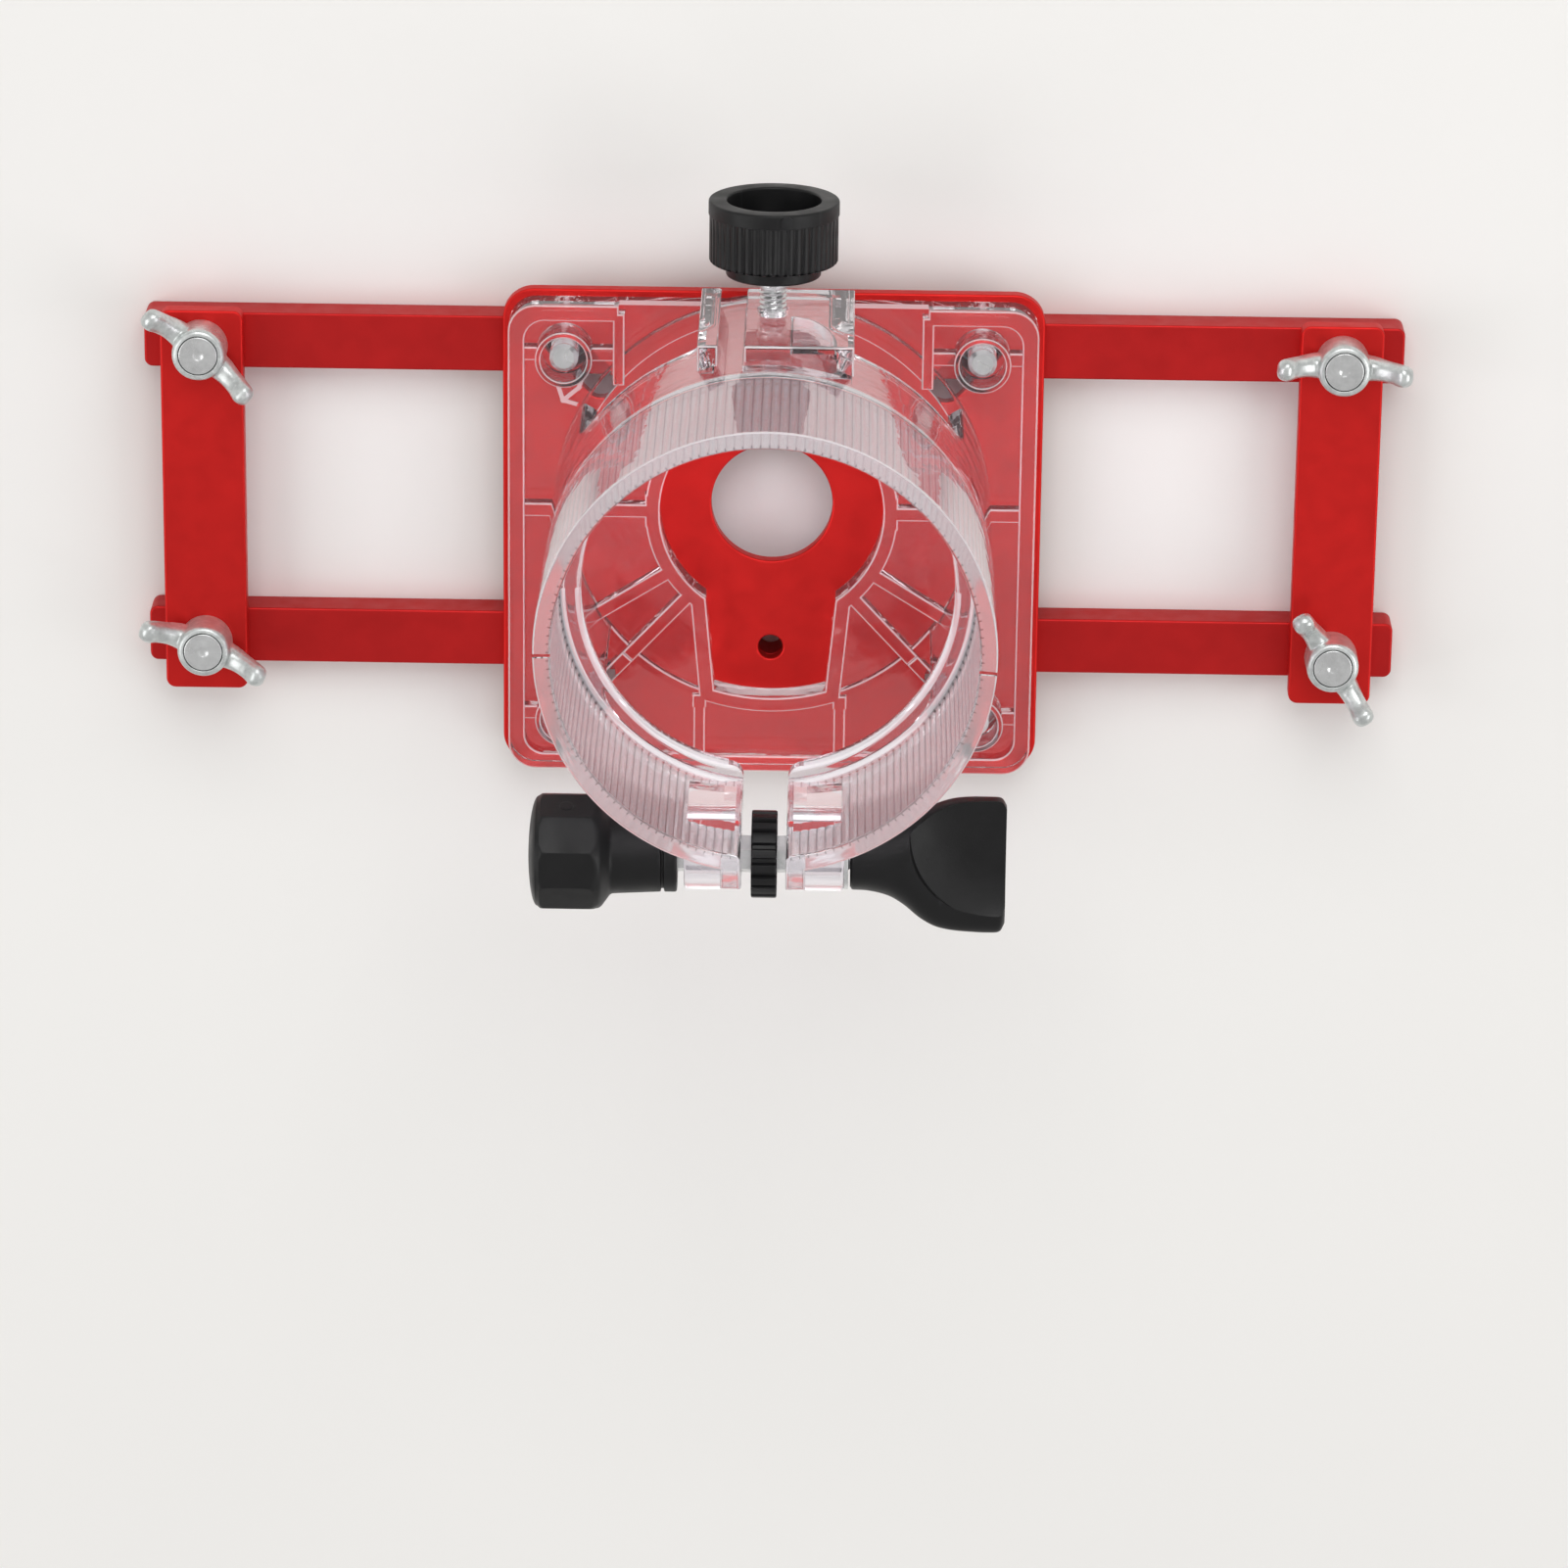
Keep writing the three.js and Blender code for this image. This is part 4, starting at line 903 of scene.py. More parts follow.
# Angles in degrees of the floor's spokes, of the windows' ends and of the rim's parting grooves
SPOKES, OUTER_SPOKES, BOSS_SPOKES = (0, -32, -47, 180, 212, 227), (0, -32, 180, 212), (-47, 227)
FRONT_WINDOW, REAR_WINDOWS, RIM_NOTCHES = (-142, -38), ((31, 73), (107, 149)), (181, -4)
# Sides of the guide bracket's lug and of its block, and the radius of their corners
BRACKET_WALLS, BRACKET_CORNER = ((-11.5 * MM, -8.3 * MM), (-4.2 * MM, 12.9 * MM)), 0.3 * MM
# Radii of the holes for screws, shaft and guide screw, and where the last of them starts
SCREW_HOLE, SHAFT_HOLE, GUIDE_HOLE, GUIDE_HOLE_START = 2.45 * MM, 3.36 * MM, 2.5 * MM, 33.6 * MM
# Shares of the moulding's own sizes: the bosses' rounding, and the width of the front ribs' feet
BOSS_EDGE, FOOT_WIDTH = 0.8, 0.84
# The arrow's tip, and the ends of its lines from there, all in millimetres
ARROW_TIP = (-33.7, 17.8)
ARROW_LINES = (((0, 0), (2.6, 2.2)), ((2.5, 2.1), (3.3, 4.3)), ((0, 0), (-0.7, 2.2)), ((0, 0), (2.1, -0.6)))
# The rim's parting grooves, and the rounding where the split meets the ring's inner face
NOTCH_HALF, NOTCH_DEPTH, RING_MOUTH = 0.22 * MM, 0.3 * MM, 1.0 * MM


def bit_y(s):
    """Where the bit axis stands along Y."""
    return PLATE_HIGH.y - s.plate_rear_reach


def adjuster_y(s):
    """Where the adjuster's axis stands from the bit axis."""
    return ADJUSTER.y - bit_y(s)


def keyhole(s, extra):
    """The outline of the keyhole, grown by extra."""
    radius = s.keyhole_radius + extra
    half = s.keyhole_slot + extra
    narrow = half - s.keyhole_taper
    end = s.keyhole_reach + extra
    entry = math.degrees(math.acos(half / radius))
    end_angle = math.degrees(math.acos(narrow / end))
    return [
        *arc(0, 0, radius, -entry, 180 + entry, steps=72),
        *arc(0, 0, end, 180 + end_angle, 360 - end_angle, steps=24),
    ]


def rib(name, degrees, start, stop, width, z0, z1, edge):
    """A straight rib from one radius to another, with a rounded crest."""
    return moved(slab(name, oblong(start, stop, -width / 2, width / 2), z0, z1, top=edge), turn=spin(degrees))


def boss_places(s):
    """The bosses' centres about the bit axis."""
    return [(place.x - BIT_X, place.y - bit_y(s)) for place in BOSSES]


def clear_floor(s):
    """Floor, outer wall, collar, ribs and bosses of the clear base."""
    bottom = PLATE_HIGH.z + s.air_gap
    floor_top = PLATE_HIGH.z + s.floor_thickness
    wall_top = PLATE_HIGH.z + s.wall_height
    crest = floor_top + s.rib_height
    sunk = floor_top - JOINED
    edge, wall = s.edge, s.wall_thickness
    half = (PLATE_HIGH.x - PLATE_LOW.x) / 2 - s.floor_inset
    rear = s.plate_rear_reach - s.floor_inset
    front = rear - (PLATE_HIGH.y - PLATE_LOW.y) + 2 * s.floor_inset
    barrel = s.bore_radius + s.barrel_wall
    in_barrel = barrel - s.barrel_wall / 2
    outer = rectangle(-half, half, front, rear, s.floor_corner, steps=10)
    inner_corner = s.floor_corner - wall / 2
    inner = rectangle(-half + wall, half - wall, front + wall, rear - wall, inner_corner, steps=10)
    body = slab("clear_base_moulding", outer, bottom, wall_top, top=edge, bottom=edge / 2)
    gap = oblong(-s.rear_gap, s.rear_gap, rear - 2 * wall, rear + 2 * OVERRUN)
    cut(body, *[pocket("wall_cut", outline, floor_top, wall_top, flare=edge) for outline in (inner, gap)])

    def straight_rib(x0, x1, y0, y1, z1=crest):
        return slab("straight_rib", oblong(x0, x1, y0, y1), sunk, z1, top=edge)

    def rib_along_y(x, width, y0, y1, z1=crest):
        return straight_rib(x - width / 2, x + width / 2, y0, y1, z1)

    parts = [slab("collar", keyhole(s, s.collar_width), sunk, crest, top=edge)]
    nub = (s.keyhole_radius - s.collar_nub, s.keyhole_radius + s.collar_width, 4 * s.collar_nub)
    parts += [rib("nub", side, *nub, bottom + edge, crest, edge) for side in (0, 180)]
    for angles, start, stop in (
            (SPOKES, s.keyhole_radius + s.collar_width / 2, in_barrel),
            (OUTER_SPOKES, in_barrel, half - wall / 2),
            (BOSS_SPOKES, in_barrel, s.front_boss_reach)):
        parts += [rib("spoke", degrees, start, stop, s.rib_width, sunk, crest, edge) for degrees in angles]
    for side in (-1, 1):
        start = math.sqrt(s.bore_radius ** 2 - s.rear_gap ** 2)
        parts.append(rib_along_y(side * s.rear_gap, s.rear_rib_width, start, rear - wall / 2, wall_top))
        x = side * s.front_rib_x
        step = -math.sqrt(barrel ** 2 - x ** 2)
        parts.append(rib_along_y(x, s.rib_width, step, -s.keyhole_reach + edge))
        foot = s.rib_width * FOOT_WIDTH
        parts.append(rib_along_y(x, foot, front + wall / 2, step + edge, crest - s.rib_step))
    for x, y in boss_places(s):
        inside = math.copysign(s.rear_gap if y > 0 else abs(x), x)
        outside = math.copysign(half - wall / 2, x)
        low, high = min(inside, outside), max(inside, outside)
        parts.append(straight_rib(low, high, y - s.rib_width / 2, y + s.rib_width / 2))
        boss_top = floor_top + s.boss_height
        parts.append(slab("boss", circle(x, y, s.boss_radius), sunk, boss_top, top=edge * BOSS_EDGE))
    return joined(body, *parts, *turning_arrow(s, floor_top))


def turning_arrow(s, floor_top):
    """A raised arrow on the floor beside the rear left boss: a bent shaft with a two-line head."""
    tip = Vector(ARROW_TIP) * MM
    half = s.mark_width / 2
    bars = []
    for start, end in ARROW_LINES:
        start, end = tip + Vector(start) * MM, tip + Vector(end) * MM
        run = (end - start).normalized()
        outline = oblong(-half, (end - start).length + half, -half, half)
        bar = slab("arrow_line", outline, floor_top - JOINED, floor_top + s.mark_height, top=half / 2)
        turn = Matrix.Rotation(math.atan2(run.y, run.x), 4, "Z")
        bars.append(moved(bar, x=start.x, y=start.y, turn=turn))
    return bars


def ring_rib_count(s):
    """How many fine ribs the clamp ring has."""
    return round(math.tau * s.bore_radius / s.rib_pitch)


def ring_ribs(s):
    """The shape of the fine ribs inside the clamp ring, as a change of radius."""
    count = ring_rib_count(s)
    top = BASE_HIGH.z - 2 * s.edge
    near_bore = 0.05 * MM

    def shaped(angle, radius, height):
        if abs(radius - s.bore_radius) > near_bore or not s.ring_bottom < height < top:
            return radius
        return radius + s.rib_depth * (0.5 - 0.5 * math.cos(angle * count)) ** 3

    return shaped


def clear_barrel(s):
    """The barrel with its ledge, ribbed ring, flanges and clamp lugs."""
    top = BASE_HIGH.z
    bottom = PLATE_HIGH.z + s.air_gap + JOINED
    outer = s.bore_radius + s.barrel_wall
    ledge = s.bore_radius - s.ledge_depth
    nose = s.ledge_nose
    bend = nose * 0.3
    corners = [
        (outer, (bottom + top) / 2),
        (outer, top),
        (s.bore_radius, top),
        (s.bore_radius, s.ring_bottom + nose),
        (s.bore_radius - bend, s.ring_bottom + bend),
        (s.bore_radius - nose, s.ring_bottom),
        (ledge + nose, s.ring_bottom),
        (ledge + bend, s.ring_bottom - bend),
        (ledge, s.ring_bottom - nose),
        (ledge, s.ring_bottom - s.ledge_thickness),
        (s.bore_radius, s.ring_bottom - s.ledge_thickness),
        (s.bore_radius, bottom),
        (outer, bottom),
        (outer, (bottom + top) / 2 - OVERRUN),
    ]
    profile = rounded_profile(corners, s.edge)
    ring_start, from_end, on_bore = s.ring_bottom + s.ledge_nose, 0.6 * MM, 0.02 * MM
    for i, (radius, height) in enumerate(profile):
        runs_down = height > ring_start and profile[i + 1][1] < height - OVERRUN
        if abs(radius - s.bore_radius) < on_bore and runs_down:
            ends = height - from_end, ring_start + from_end
            profile[i + 1:i + 1] = [(s.bore_radius, end) for end in ends]
            break
    barrel = turned("barrel", profile, sides=6 * ring_rib_count(s), shaped=ring_ribs(s), closed=True)
    wall_y = -math.sqrt(outer ** 2 - s.lug_reach ** 2) + s.barrel_wall
    lug_outline = [
        (s.lug_spread, wall_y - adjuster_y(s)),
        (-s.lug_spread, wall_y - adjuster_y(s)),
        *arc(0, 0, s.lug_radius, 180, 360, steps=24),
    ]
    parts = []
    for side in (-1, 1):
        lug = slab("clamp_lug", lug_outline, s.split_width / 2, s.lug_reach, top=s.edge, bottom=s.edge)
        moved(lug, turn=ALONG_X)
        if side < 0:
            lug.data.transform(Matrix.Scale(-1, 4, (1, 0, 0)))
            lug.data.flip_normals()
        parts.append(moved(lug, y=adjuster_y(s), z=ADJUSTER.z))
        near, far = sorted((side * s.split_width / 2, side * (s.split_width / 2 + s.flange_width)))
        outline = oblong(near, far, -outer - s.flange_reach, -s.bore_radius - s.edge)
        parts.append(slab("flange", outline, s.front_window_top, top, top=s.edge, bottom=s.edge))
    return barrel, parts


def window(s, start, end, z0, z1):
    """A cutter for an opening in the barrel wall, drawn on the wall and flared at both faces."""
    middle_radius = s.bore_radius + s.barrel_wall / 2
    half = math.radians(end - start) / 2 * middle_radius
    centre = math.radians((start + end) / 2)
    straight = half - s.window_corner
    arch = arc(straight, z1 - s.window_corner, s.window_corner, 0, 90, steps=12)
    steps = 30
    level = [(straight * (1 - 2 * i / steps), z1) for i in range(1, steps)]
    upper = [*arch, *level, *[(-u, v) for u, v in reversed(arch)]]
    outline = [*[(u, z0) for u, _ in reversed(upper)], *upper]
    inner, outer = s.bore_radius, s.bore_radius + s.barrel_wall
    levels = [(s.edge, inner - OVERRUN)]
    levels += [(inset, inner + depth) for inset, depth in reversed(rounding(s.edge))]
    levels += [(inset, outer - depth) for inset, depth in rounding(s.edge)]
    levels.append((s.edge, outer + 3 * OVERRUN))
    rings = []
    for grow, radius in levels:
        ring = []
        for u, v in grown(outline, grow):
            angle = centre + u / middle_radius
            ring.append((radius * math.cos(angle), radius * math.sin(angle), v))
        rings.append(ring)
    return stacked("window", rings, ladder=True)


def clear_bracket(s):
    """The guide bracket on the rear of the barrel: a lug, a slot and a block."""
    foot = PLATE_HIGH.z + s.wall_height - JOINED
    parts = []
    for x0, x1 in BRACKET_WALLS:
        start = math.sqrt(s.bore_radius ** 2 - max(abs(x0), abs(x1)) ** 2) + s.edge
        outline = rectangle(x0, x1, start, s.bracket_face, BRACKET_CORNER, steps=3)
        parts.append(slab("bracket", outline, foot, s.bracket_top, top=s.edge))
    return parts


def bracket_pocket(s):
    """A cutter that cores out the bracket's block from above, with a curved bottom, down to the barrel."""
    width = s.pocket_right - s.pocket_left
    shoulder = s.bracket_top - s.pocket_shoulder
    drop = s.pocket_depth - s.pocket_shoulder
    steps = 20
    curve = [(s.pocket_left + width * math.sin(a), shoulder - drop * math.cos(a))
             for a in (i / steps * math.pi / 2 for i in range(steps + 1))]
    outline = [*curve, (s.pocket_right, s.bracket_top + OVERRUN), (s.pocket_left, s.bracket_top + OVERRUN)]
    deep = s.bracket_face - s.pocket_wall
    core = moved(slab("bracket_pocket", outline, -deep, 0, bottom=s.edge), turn=spin(90, "X"))
    outer = s.bore_radius + s.barrel_wall
    return cut(core, slab("barrel_outside", circle(0, 0, outer, steps=192), 0, s.bracket_top + 3 * OVERRUN))


def split_mouth(s, y, radius, z0, z1):
    """A cutter that rounds the two corners where the split meets a round inner face at y."""
    half = s.split_width / 2
    right = arc(half + radius, y - radius, radius, 180, 90, steps=10)
    left = [(-x, depth) for x, depth in reversed(right)]
    far = half + radius
    outline = [(-half, y - 2 * radius), (half, y - 2 * radius), *right, (far, y + OVERRUN),
               (-far, y + OVERRUN), *left]
    return slab("split_mouth", outline, z0, z1)


def rear_bevel(s, floor_top):
    """A cutter that bevels the floor's rear edge in the gap of the rear wall."""
    depth = s.floor_bevel
    outline = [(depth, 0), (0, depth), (-depth, 0), (0, -depth)]
    bevel = slab("rear_bevel", outline, -s.rear_gap, s.rear_gap)
    return moved(bevel, y=s.plate_rear_reach - s.floor_inset, z=floor_top, turn=ALONG_X)


def rim_notch(s, degrees):
    """A cutter for a fine parting groove across the rim's top."""
    low, high = BASE_HIGH.z - NOTCH_DEPTH, BASE_HIGH.z + NOTCH_DEPTH
    outline = [(-NOTCH_HALF, low), (NOTCH_HALF, low), (2 * NOTCH_HALF, high), (-2 * NOTCH_HALF, high)]
    groove = slab("rim_notch", outline, s.bore_radius - OVERRUN, s.bore_radius + s.barrel_wall + OVERRUN)
    return moved(groove, turn=spin(degrees) @ spin(90) @ spin(90, "X"))


def clear_base(s):
    """The whole clear moulding about the bit axis."""
    bottom, top = PLATE_HIGH.z, BASE_HIGH.z
    floor_top = bottom + s.floor_thickness
    crest = floor_top + s.rib_height
    boss_top = floor_top + s.boss_height
    ledge = s.bore_radius - s.ledge_depth
    half = s.split_width / 2
    body = clear_floor(s)
    barrel, extras = clear_barrel(s)
    joined(barrel, *extras, *clear_bracket(s))
    cut(barrel,
        window(s, *FRONT_WINDOW, floor_top + s.sill_height, s.front_window_top),
        *[window(s, *ends, crest, s.rear_window_top) for ends in REAR_WINDOWS])
    joined(body, barrel)
    split = oblong(-half, half, adjuster_y(s) - s.lug_radius - 2 * OVERRUN, 0)
    cutters = [
        slab("bore", circle(0, 0, ledge, steps=160), crest, s.ring_bottom + OVERRUN),
        pocket("keyhole_cut", keyhole(s, 0), bottom + s.air_gap, crest, flare=s.edge, flare_low=s.edge / 2),
        rear_bevel(s, floor_top),
        pocket("split", split, s.front_window_top - 2 * OVERRUN, top, flare=s.edge),
    ]
    for x, y in boss_places(s):
        cup, hole = circle(x, y, s.boss_bore), circle(x, y, SCREW_HOLE, steps=32)
        cutters.append(pocket("boss_cup", cup, floor_top, boss_top, flare=s.edge * BOSS_EDGE))
        cutters.append(slab("screw_hole", hole, bottom - OVERRUN, floor_top + OVERRUN))
    shaft_outline, screw_outline = (circle(0, 0, radius, steps=32) for radius in (SHAFT_HOLE, GUIDE_HOLE))
    shaft = slab("shaft_hole", shaft_outline, -s.lug_reach - OVERRUN, s.lug_reach + OVERRUN)
    screw = slab("guide_hole", screw_outline, GUIDE_HOLE_START, s.bracket_face + OVERRUN)
    ledge_y, bore_y = (-math.sqrt(radius ** 2 - half ** 2) for radius in (ledge, s.bore_radius))
    low, middle_height = s.front_window_top - OVERRUN, s.ring_bottom + OVERRUN / 2
    cutters += [
        moved(shaft, y=adjuster_y(s), z=ADJUSTER.z, turn=ALONG_X),
        moved(screw, z=GUIDE_SCREW.z, turn=ALONG_Y),
        bracket_pocket(s),
        split_mouth(s, ledge_y, s.split_corner, low, middle_height),
        split_mouth(s, bore_y, RING_MOUTH, s.ring_bottom, top + OVERRUN),
        *[rim_notch(s, degrees) for degrees in RIM_NOTCHES],
    ]
    cut(body, *cutters)
    return moved(body, x=BIT_X, y=bit_y(s))


# Anodised pieces

# Radii of the holes for the wing studs, for the rear base screws' heads and for the front rail's screws
STUD_HOLE, BASE_HEAD_HOLE, RAIL_HEAD_HOLE = 2.65 * MM, 4.3 * MM, 4.0 * MM


def holes_at(nodes, radius, steps=40, y=None):
    """Round holes at the middles of CAD nodes, or at a y of their own."""
    places = [middle(node) for node in nodes]
    return [circle(place.x, place.y if y is None else y, radius, steps) for place in places]


def pierced_slab(name, low, high, corner, holes, edge, steps=6):
    """A flat bar that fills a box, with round-edged holes through it."""
    outline = rectangle(low.x, high.x, low.y, high.y, corner, steps)
    body = slab(name, outline, low.z, high.z, top=edge, bottom=edge)
    return cut(body, *[pocket("hole", hole, low.z, high.z, flare=edge, flare_low=edge) for hole in holes])


def bar(name, corner, holes, edge):
    """A rail or cross bar that fills its CAD node's box."""
    return pierced_slab(f"{name}_bar", *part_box(name), corner, holes, edge)


def plate(s, clear):
    """The base plate with its bit hole, pilot hole and four slots."""
    y, pilot_y = bit_y(clear), middle("front_rail").y
    holes = [circle(BIT_X, y, s.bit_hole, steps=96), circle(BIT_X, pilot_y, s.pilot_hole, steps=40)]
    for boss in BOSSES:
        side_x, side_y = math.copysign(1, boss.x - BIT_X), math.copysign(1, boss.y - y)
        inset = abs(boss.x - BIT_X) - s.slot_inner
        degrees = math.degrees(math.atan2(side_y, side_x))
        start = (BIT_X + side_x * s.slot_inner, boss.y - side_y * inset)
        holes.append(stadium(*start, s.slot_width, s.slot_length, degrees))
    return pierced_slab("base_plate_sheet", PLATE_LOW, PLATE_HIGH, s.plate_corner, holes, s.edge, steps=12)


# Wing bolts and screws

# Place along the wing, its reach and height there in millimetres, half width and height in half thicknesses
WING_TABLE = (
    (0.0, 1.2, 2.7, 1.5, 1.7), (0.22, 4.3, 3.1, 1.32, 1.6), (0.45, 6.4, 4.1, 1.12, 1.3),
    (0.68, 8.2, 5.5, 1.12, 1.12), (0.88, 9.15, 6.65, 1.2, 1.04), (1.0, 9.5, 7.1, 1.2, 1.0),
)
# The wing's round tip: its length, and the angles in degrees at which it has a station
WING_TIP, TIP_ANGLES = 1.35 * MM, (20, 40, 58, 72, 82)
# How square a wing's section is, and how many stations it has
WING_POWER, WING_STEPS = 2.8, 30


def wing_arm(s, side):
    """One wing, swept from the hub up and out to its round tip."""
    half = s.wing_thickness / 2
    stations = []
    for i in range(WING_STEPS + 1):
        place = i / WING_STEPS
        x, z, wide, high = eased(WING_TABLE, place)
        beyond = eased(WING_TABLE, min(1, place + SLOPE_REACH))
        before = eased(WING_TABLE, max(0, place - SLOPE_REACH))
        run = Vector((beyond[0] - before[0], 0, beyond[1] - before[1])).normalized()
        centre, up = Vector((x, 0, z)) * MM, Vector((-run.z, 0, run.x))
        stations.append((centre, Vector((0, 1, 0)), up, half * wide, half * wide, half * high, WING_POWER))
    centre, across, up, wide, _, high, power = stations[-1]
    run = Vector((up.z, 0, -up.x))
    for angle in TIP_ANGLES:
        out, shrink = math.sin(math.radians(angle)), math.cos(math.radians(angle))
        reach = centre + run * (WING_TIP * out)
        stations.append((reach, across, up, wide * shrink, wide * shrink, high * shrink, power))
    arm = swept("wing", stations, sides=28)
    return arm if side > 0 else moved(arm, turn=spin(180))


def wing_head(s):
    """A die-cast hub with two wings, its flat foot, bore and recess cut after casting."""
    height, radius, edge, recess_edge = s.hub_height, s.hub_radius, 0.9 * MM, 0.12 * MM
    corners = [(0, -OVERRUN), (radius, -OVERRUN), (radius * 0.98, height), (0, height)]
    hub = turned("wing_head_casting", rounded_profile(corners, edge), sides=48)
    joined(hub, wing_arm(s, 1), wing_arm(s, -1))
    remeshed(hub, voxel=0.16 * MM, passes=6)
    play = s.thread_depth / 2
    seat = height - s.stud_head_height - play
    big = 3 * radius
    return cut(
        hub,
        slab("foot", oblong(-big, big, -big, big), -3 * OVERRUN, 0),
        pocket("stud_recess", circle(0, 0, s.stud_head + play), seat, height, flare=recess_edge),
        slab("bore", circle(0, 0, s.wing_bore), -OVERRUN, seat + OVERRUN))


def threaded_profile(radius, tip, shoulder, chamfer, pitch):
    """(radius, height) pairs of a threaded shank from its tip up to a shoulder."""
    return [(0, tip), (radius - chamfer, tip),
            *[(radius, z) for z in thread_heights(tip + chamfer, shoulder, pitch)]]


def wing_stud(s, low):
    """A threaded stud with a flat disc head that has a small centre mark."""
    chamfer, mark_radius, mark_depth = 0.5 * MM, 0.9 * MM, 0.35 * MM
    shoulder = s.hub_height - s.stud_head_height
    thread_end = shoulder - 2 * OVERRUN
    profile = threaded_profile(s.stud_radius, low, thread_end, chamfer, s.thread_pitch)
    profile += [(s.stud_radius, shoulder)]
    profile += rounded_profile(
        [(s.stud_radius, shoulder), (s.stud_head, shoulder), (s.stud_head, s.hub_height),
         (mark_radius, s.hub_height), (0, s.hub_height - mark_depth)], edge=0.2 * MM)[1:]
    return turned("stud", profile, sides=48, shaped=threaded(s.thread_pitch, s.thread_depth, low, thread_end))


def slotted_screw(s, low, high, radius, head, sunk):
    """A screw, head down, with a threaded shank and a straight driver slot."""
    land, crown, chamfer, plain = 0.35 * MM, 0.7 * MM, 0.6 * MM, 0.5 * MM
    # How many times its slot's depth a round head is high, and how wide its face is to its radius
    head_height, face_share = 2.2, 0.85
    if sunk:
        top = low + (head - radius) + land
        under = [(0, low), (head, low), (head, low + land), (radius, top)]
    else:
        top = low + s.drive_slot * head_height
        under = [(0, low), (head * face_share, low), (head, low + crown), (head, top), (radius, top)]
    start, end = top + plain, high - chamfer
    profile = rounded_profile(under, edge=0.18 * MM)
    profile += [(radius, z) for z in thread_heights(start, end, s.thread_pitch)]
    profile += [(radius - chamfer, high), (0, high)]
    thread = threaded(s.thread_pitch, s.thread_depth, start, end)
    body = turned("screw", profile, sides=48, shaped=thread)
    reach, half = head + OVERRUN, s.drive_slot / 2
    slot = oblong(-reach, reach, -half, half)
    return cut(body, slab("driver_slot", slot, low - OVERRUN, low + s.drive_slot))


# Depth adjuster, lever and guide screw


def on_adjuster(piece, x, turn=ALONG_X):
    """The piece moved onto the adjuster's axis."""
    return moved(piece, x=x, y=ADJUSTER.y, z=ADJUSTER.z, turn=turn)


def on_guide_screw(piece, y):
    """The piece moved onto the guide screw's axis."""
    return moved(piece, x=GUIDE_SCREW.x, y=y, z=GUIDE_SCREW.z, turn=ALONG_Y)


def hexagon(flats):
    """A hexagon's outline with flats to the left and right."""
    return circle(0, 0, flats / 2 / math.cos(math.pi / 6), steps=6)


def hex_bar(name, flats, low, high, top=0, bottom=0):
    """A hexagon bar along Z with a flat to the side that turns up on the adjuster."""
    return moved(slab(name, hexagon(flats), low, high, top=top, bottom=bottom), turn=spin(30))


def adjuster_shaft(s, pitch, depth):
    """The hexagon bar with its turned, threaded end."""
    low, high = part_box("adjuster_shaft")
    start, end = low.x - BIT_X, high.x - BIT_X
    from_washer, edge, chamfer = 0.65 * MM, 0.3 * MM, 0.5 * MM
    shoulder = middle("clamp_washer").x - BIT_X - from_washer
    shank = hex_bar("shaft_bar", s.hex_flats, start, shoulder, top=edge, bottom=edge)
    heights = thread_heights(shoulder - OVERRUN, end - chamfer, pitch)
    profile = [(0, shoulder - OVERRUN), *[(s.thread_radius, z) for z in heights],
               (s.thread_radius - chamfer, end), (0, end)]
    shaped = threaded(pitch, depth, shoulder, end - chamfer)
    thread = turned("shaft_thread", profile, sides=48, shaped=shaped)
    return joined(shank, thread)


def pinion(s):
    """The black pinion between the clamp lugs."""
    low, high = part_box("adjuster_pinion")
    half, radius = (high.x - low.x) / 2, (high.z - low.z) / 2
    edge, gap_share = 0.35 * MM, 0.42
    profile = rounded_profile([(0, -half), (radius, -half), (radius, half), (0, half)], edge)
    shaped = toothed(s.teeth, s.tooth_depth, gap_share)
    wheel = turned("pinion_wheel", profile, sides=16 * s.teeth, shaped=shaped)
    return cut(wheel, hex_bar("pinion_bore", s.hex_flats + 2 * s.play, -half - OVERRUN, half + OVERRUN))


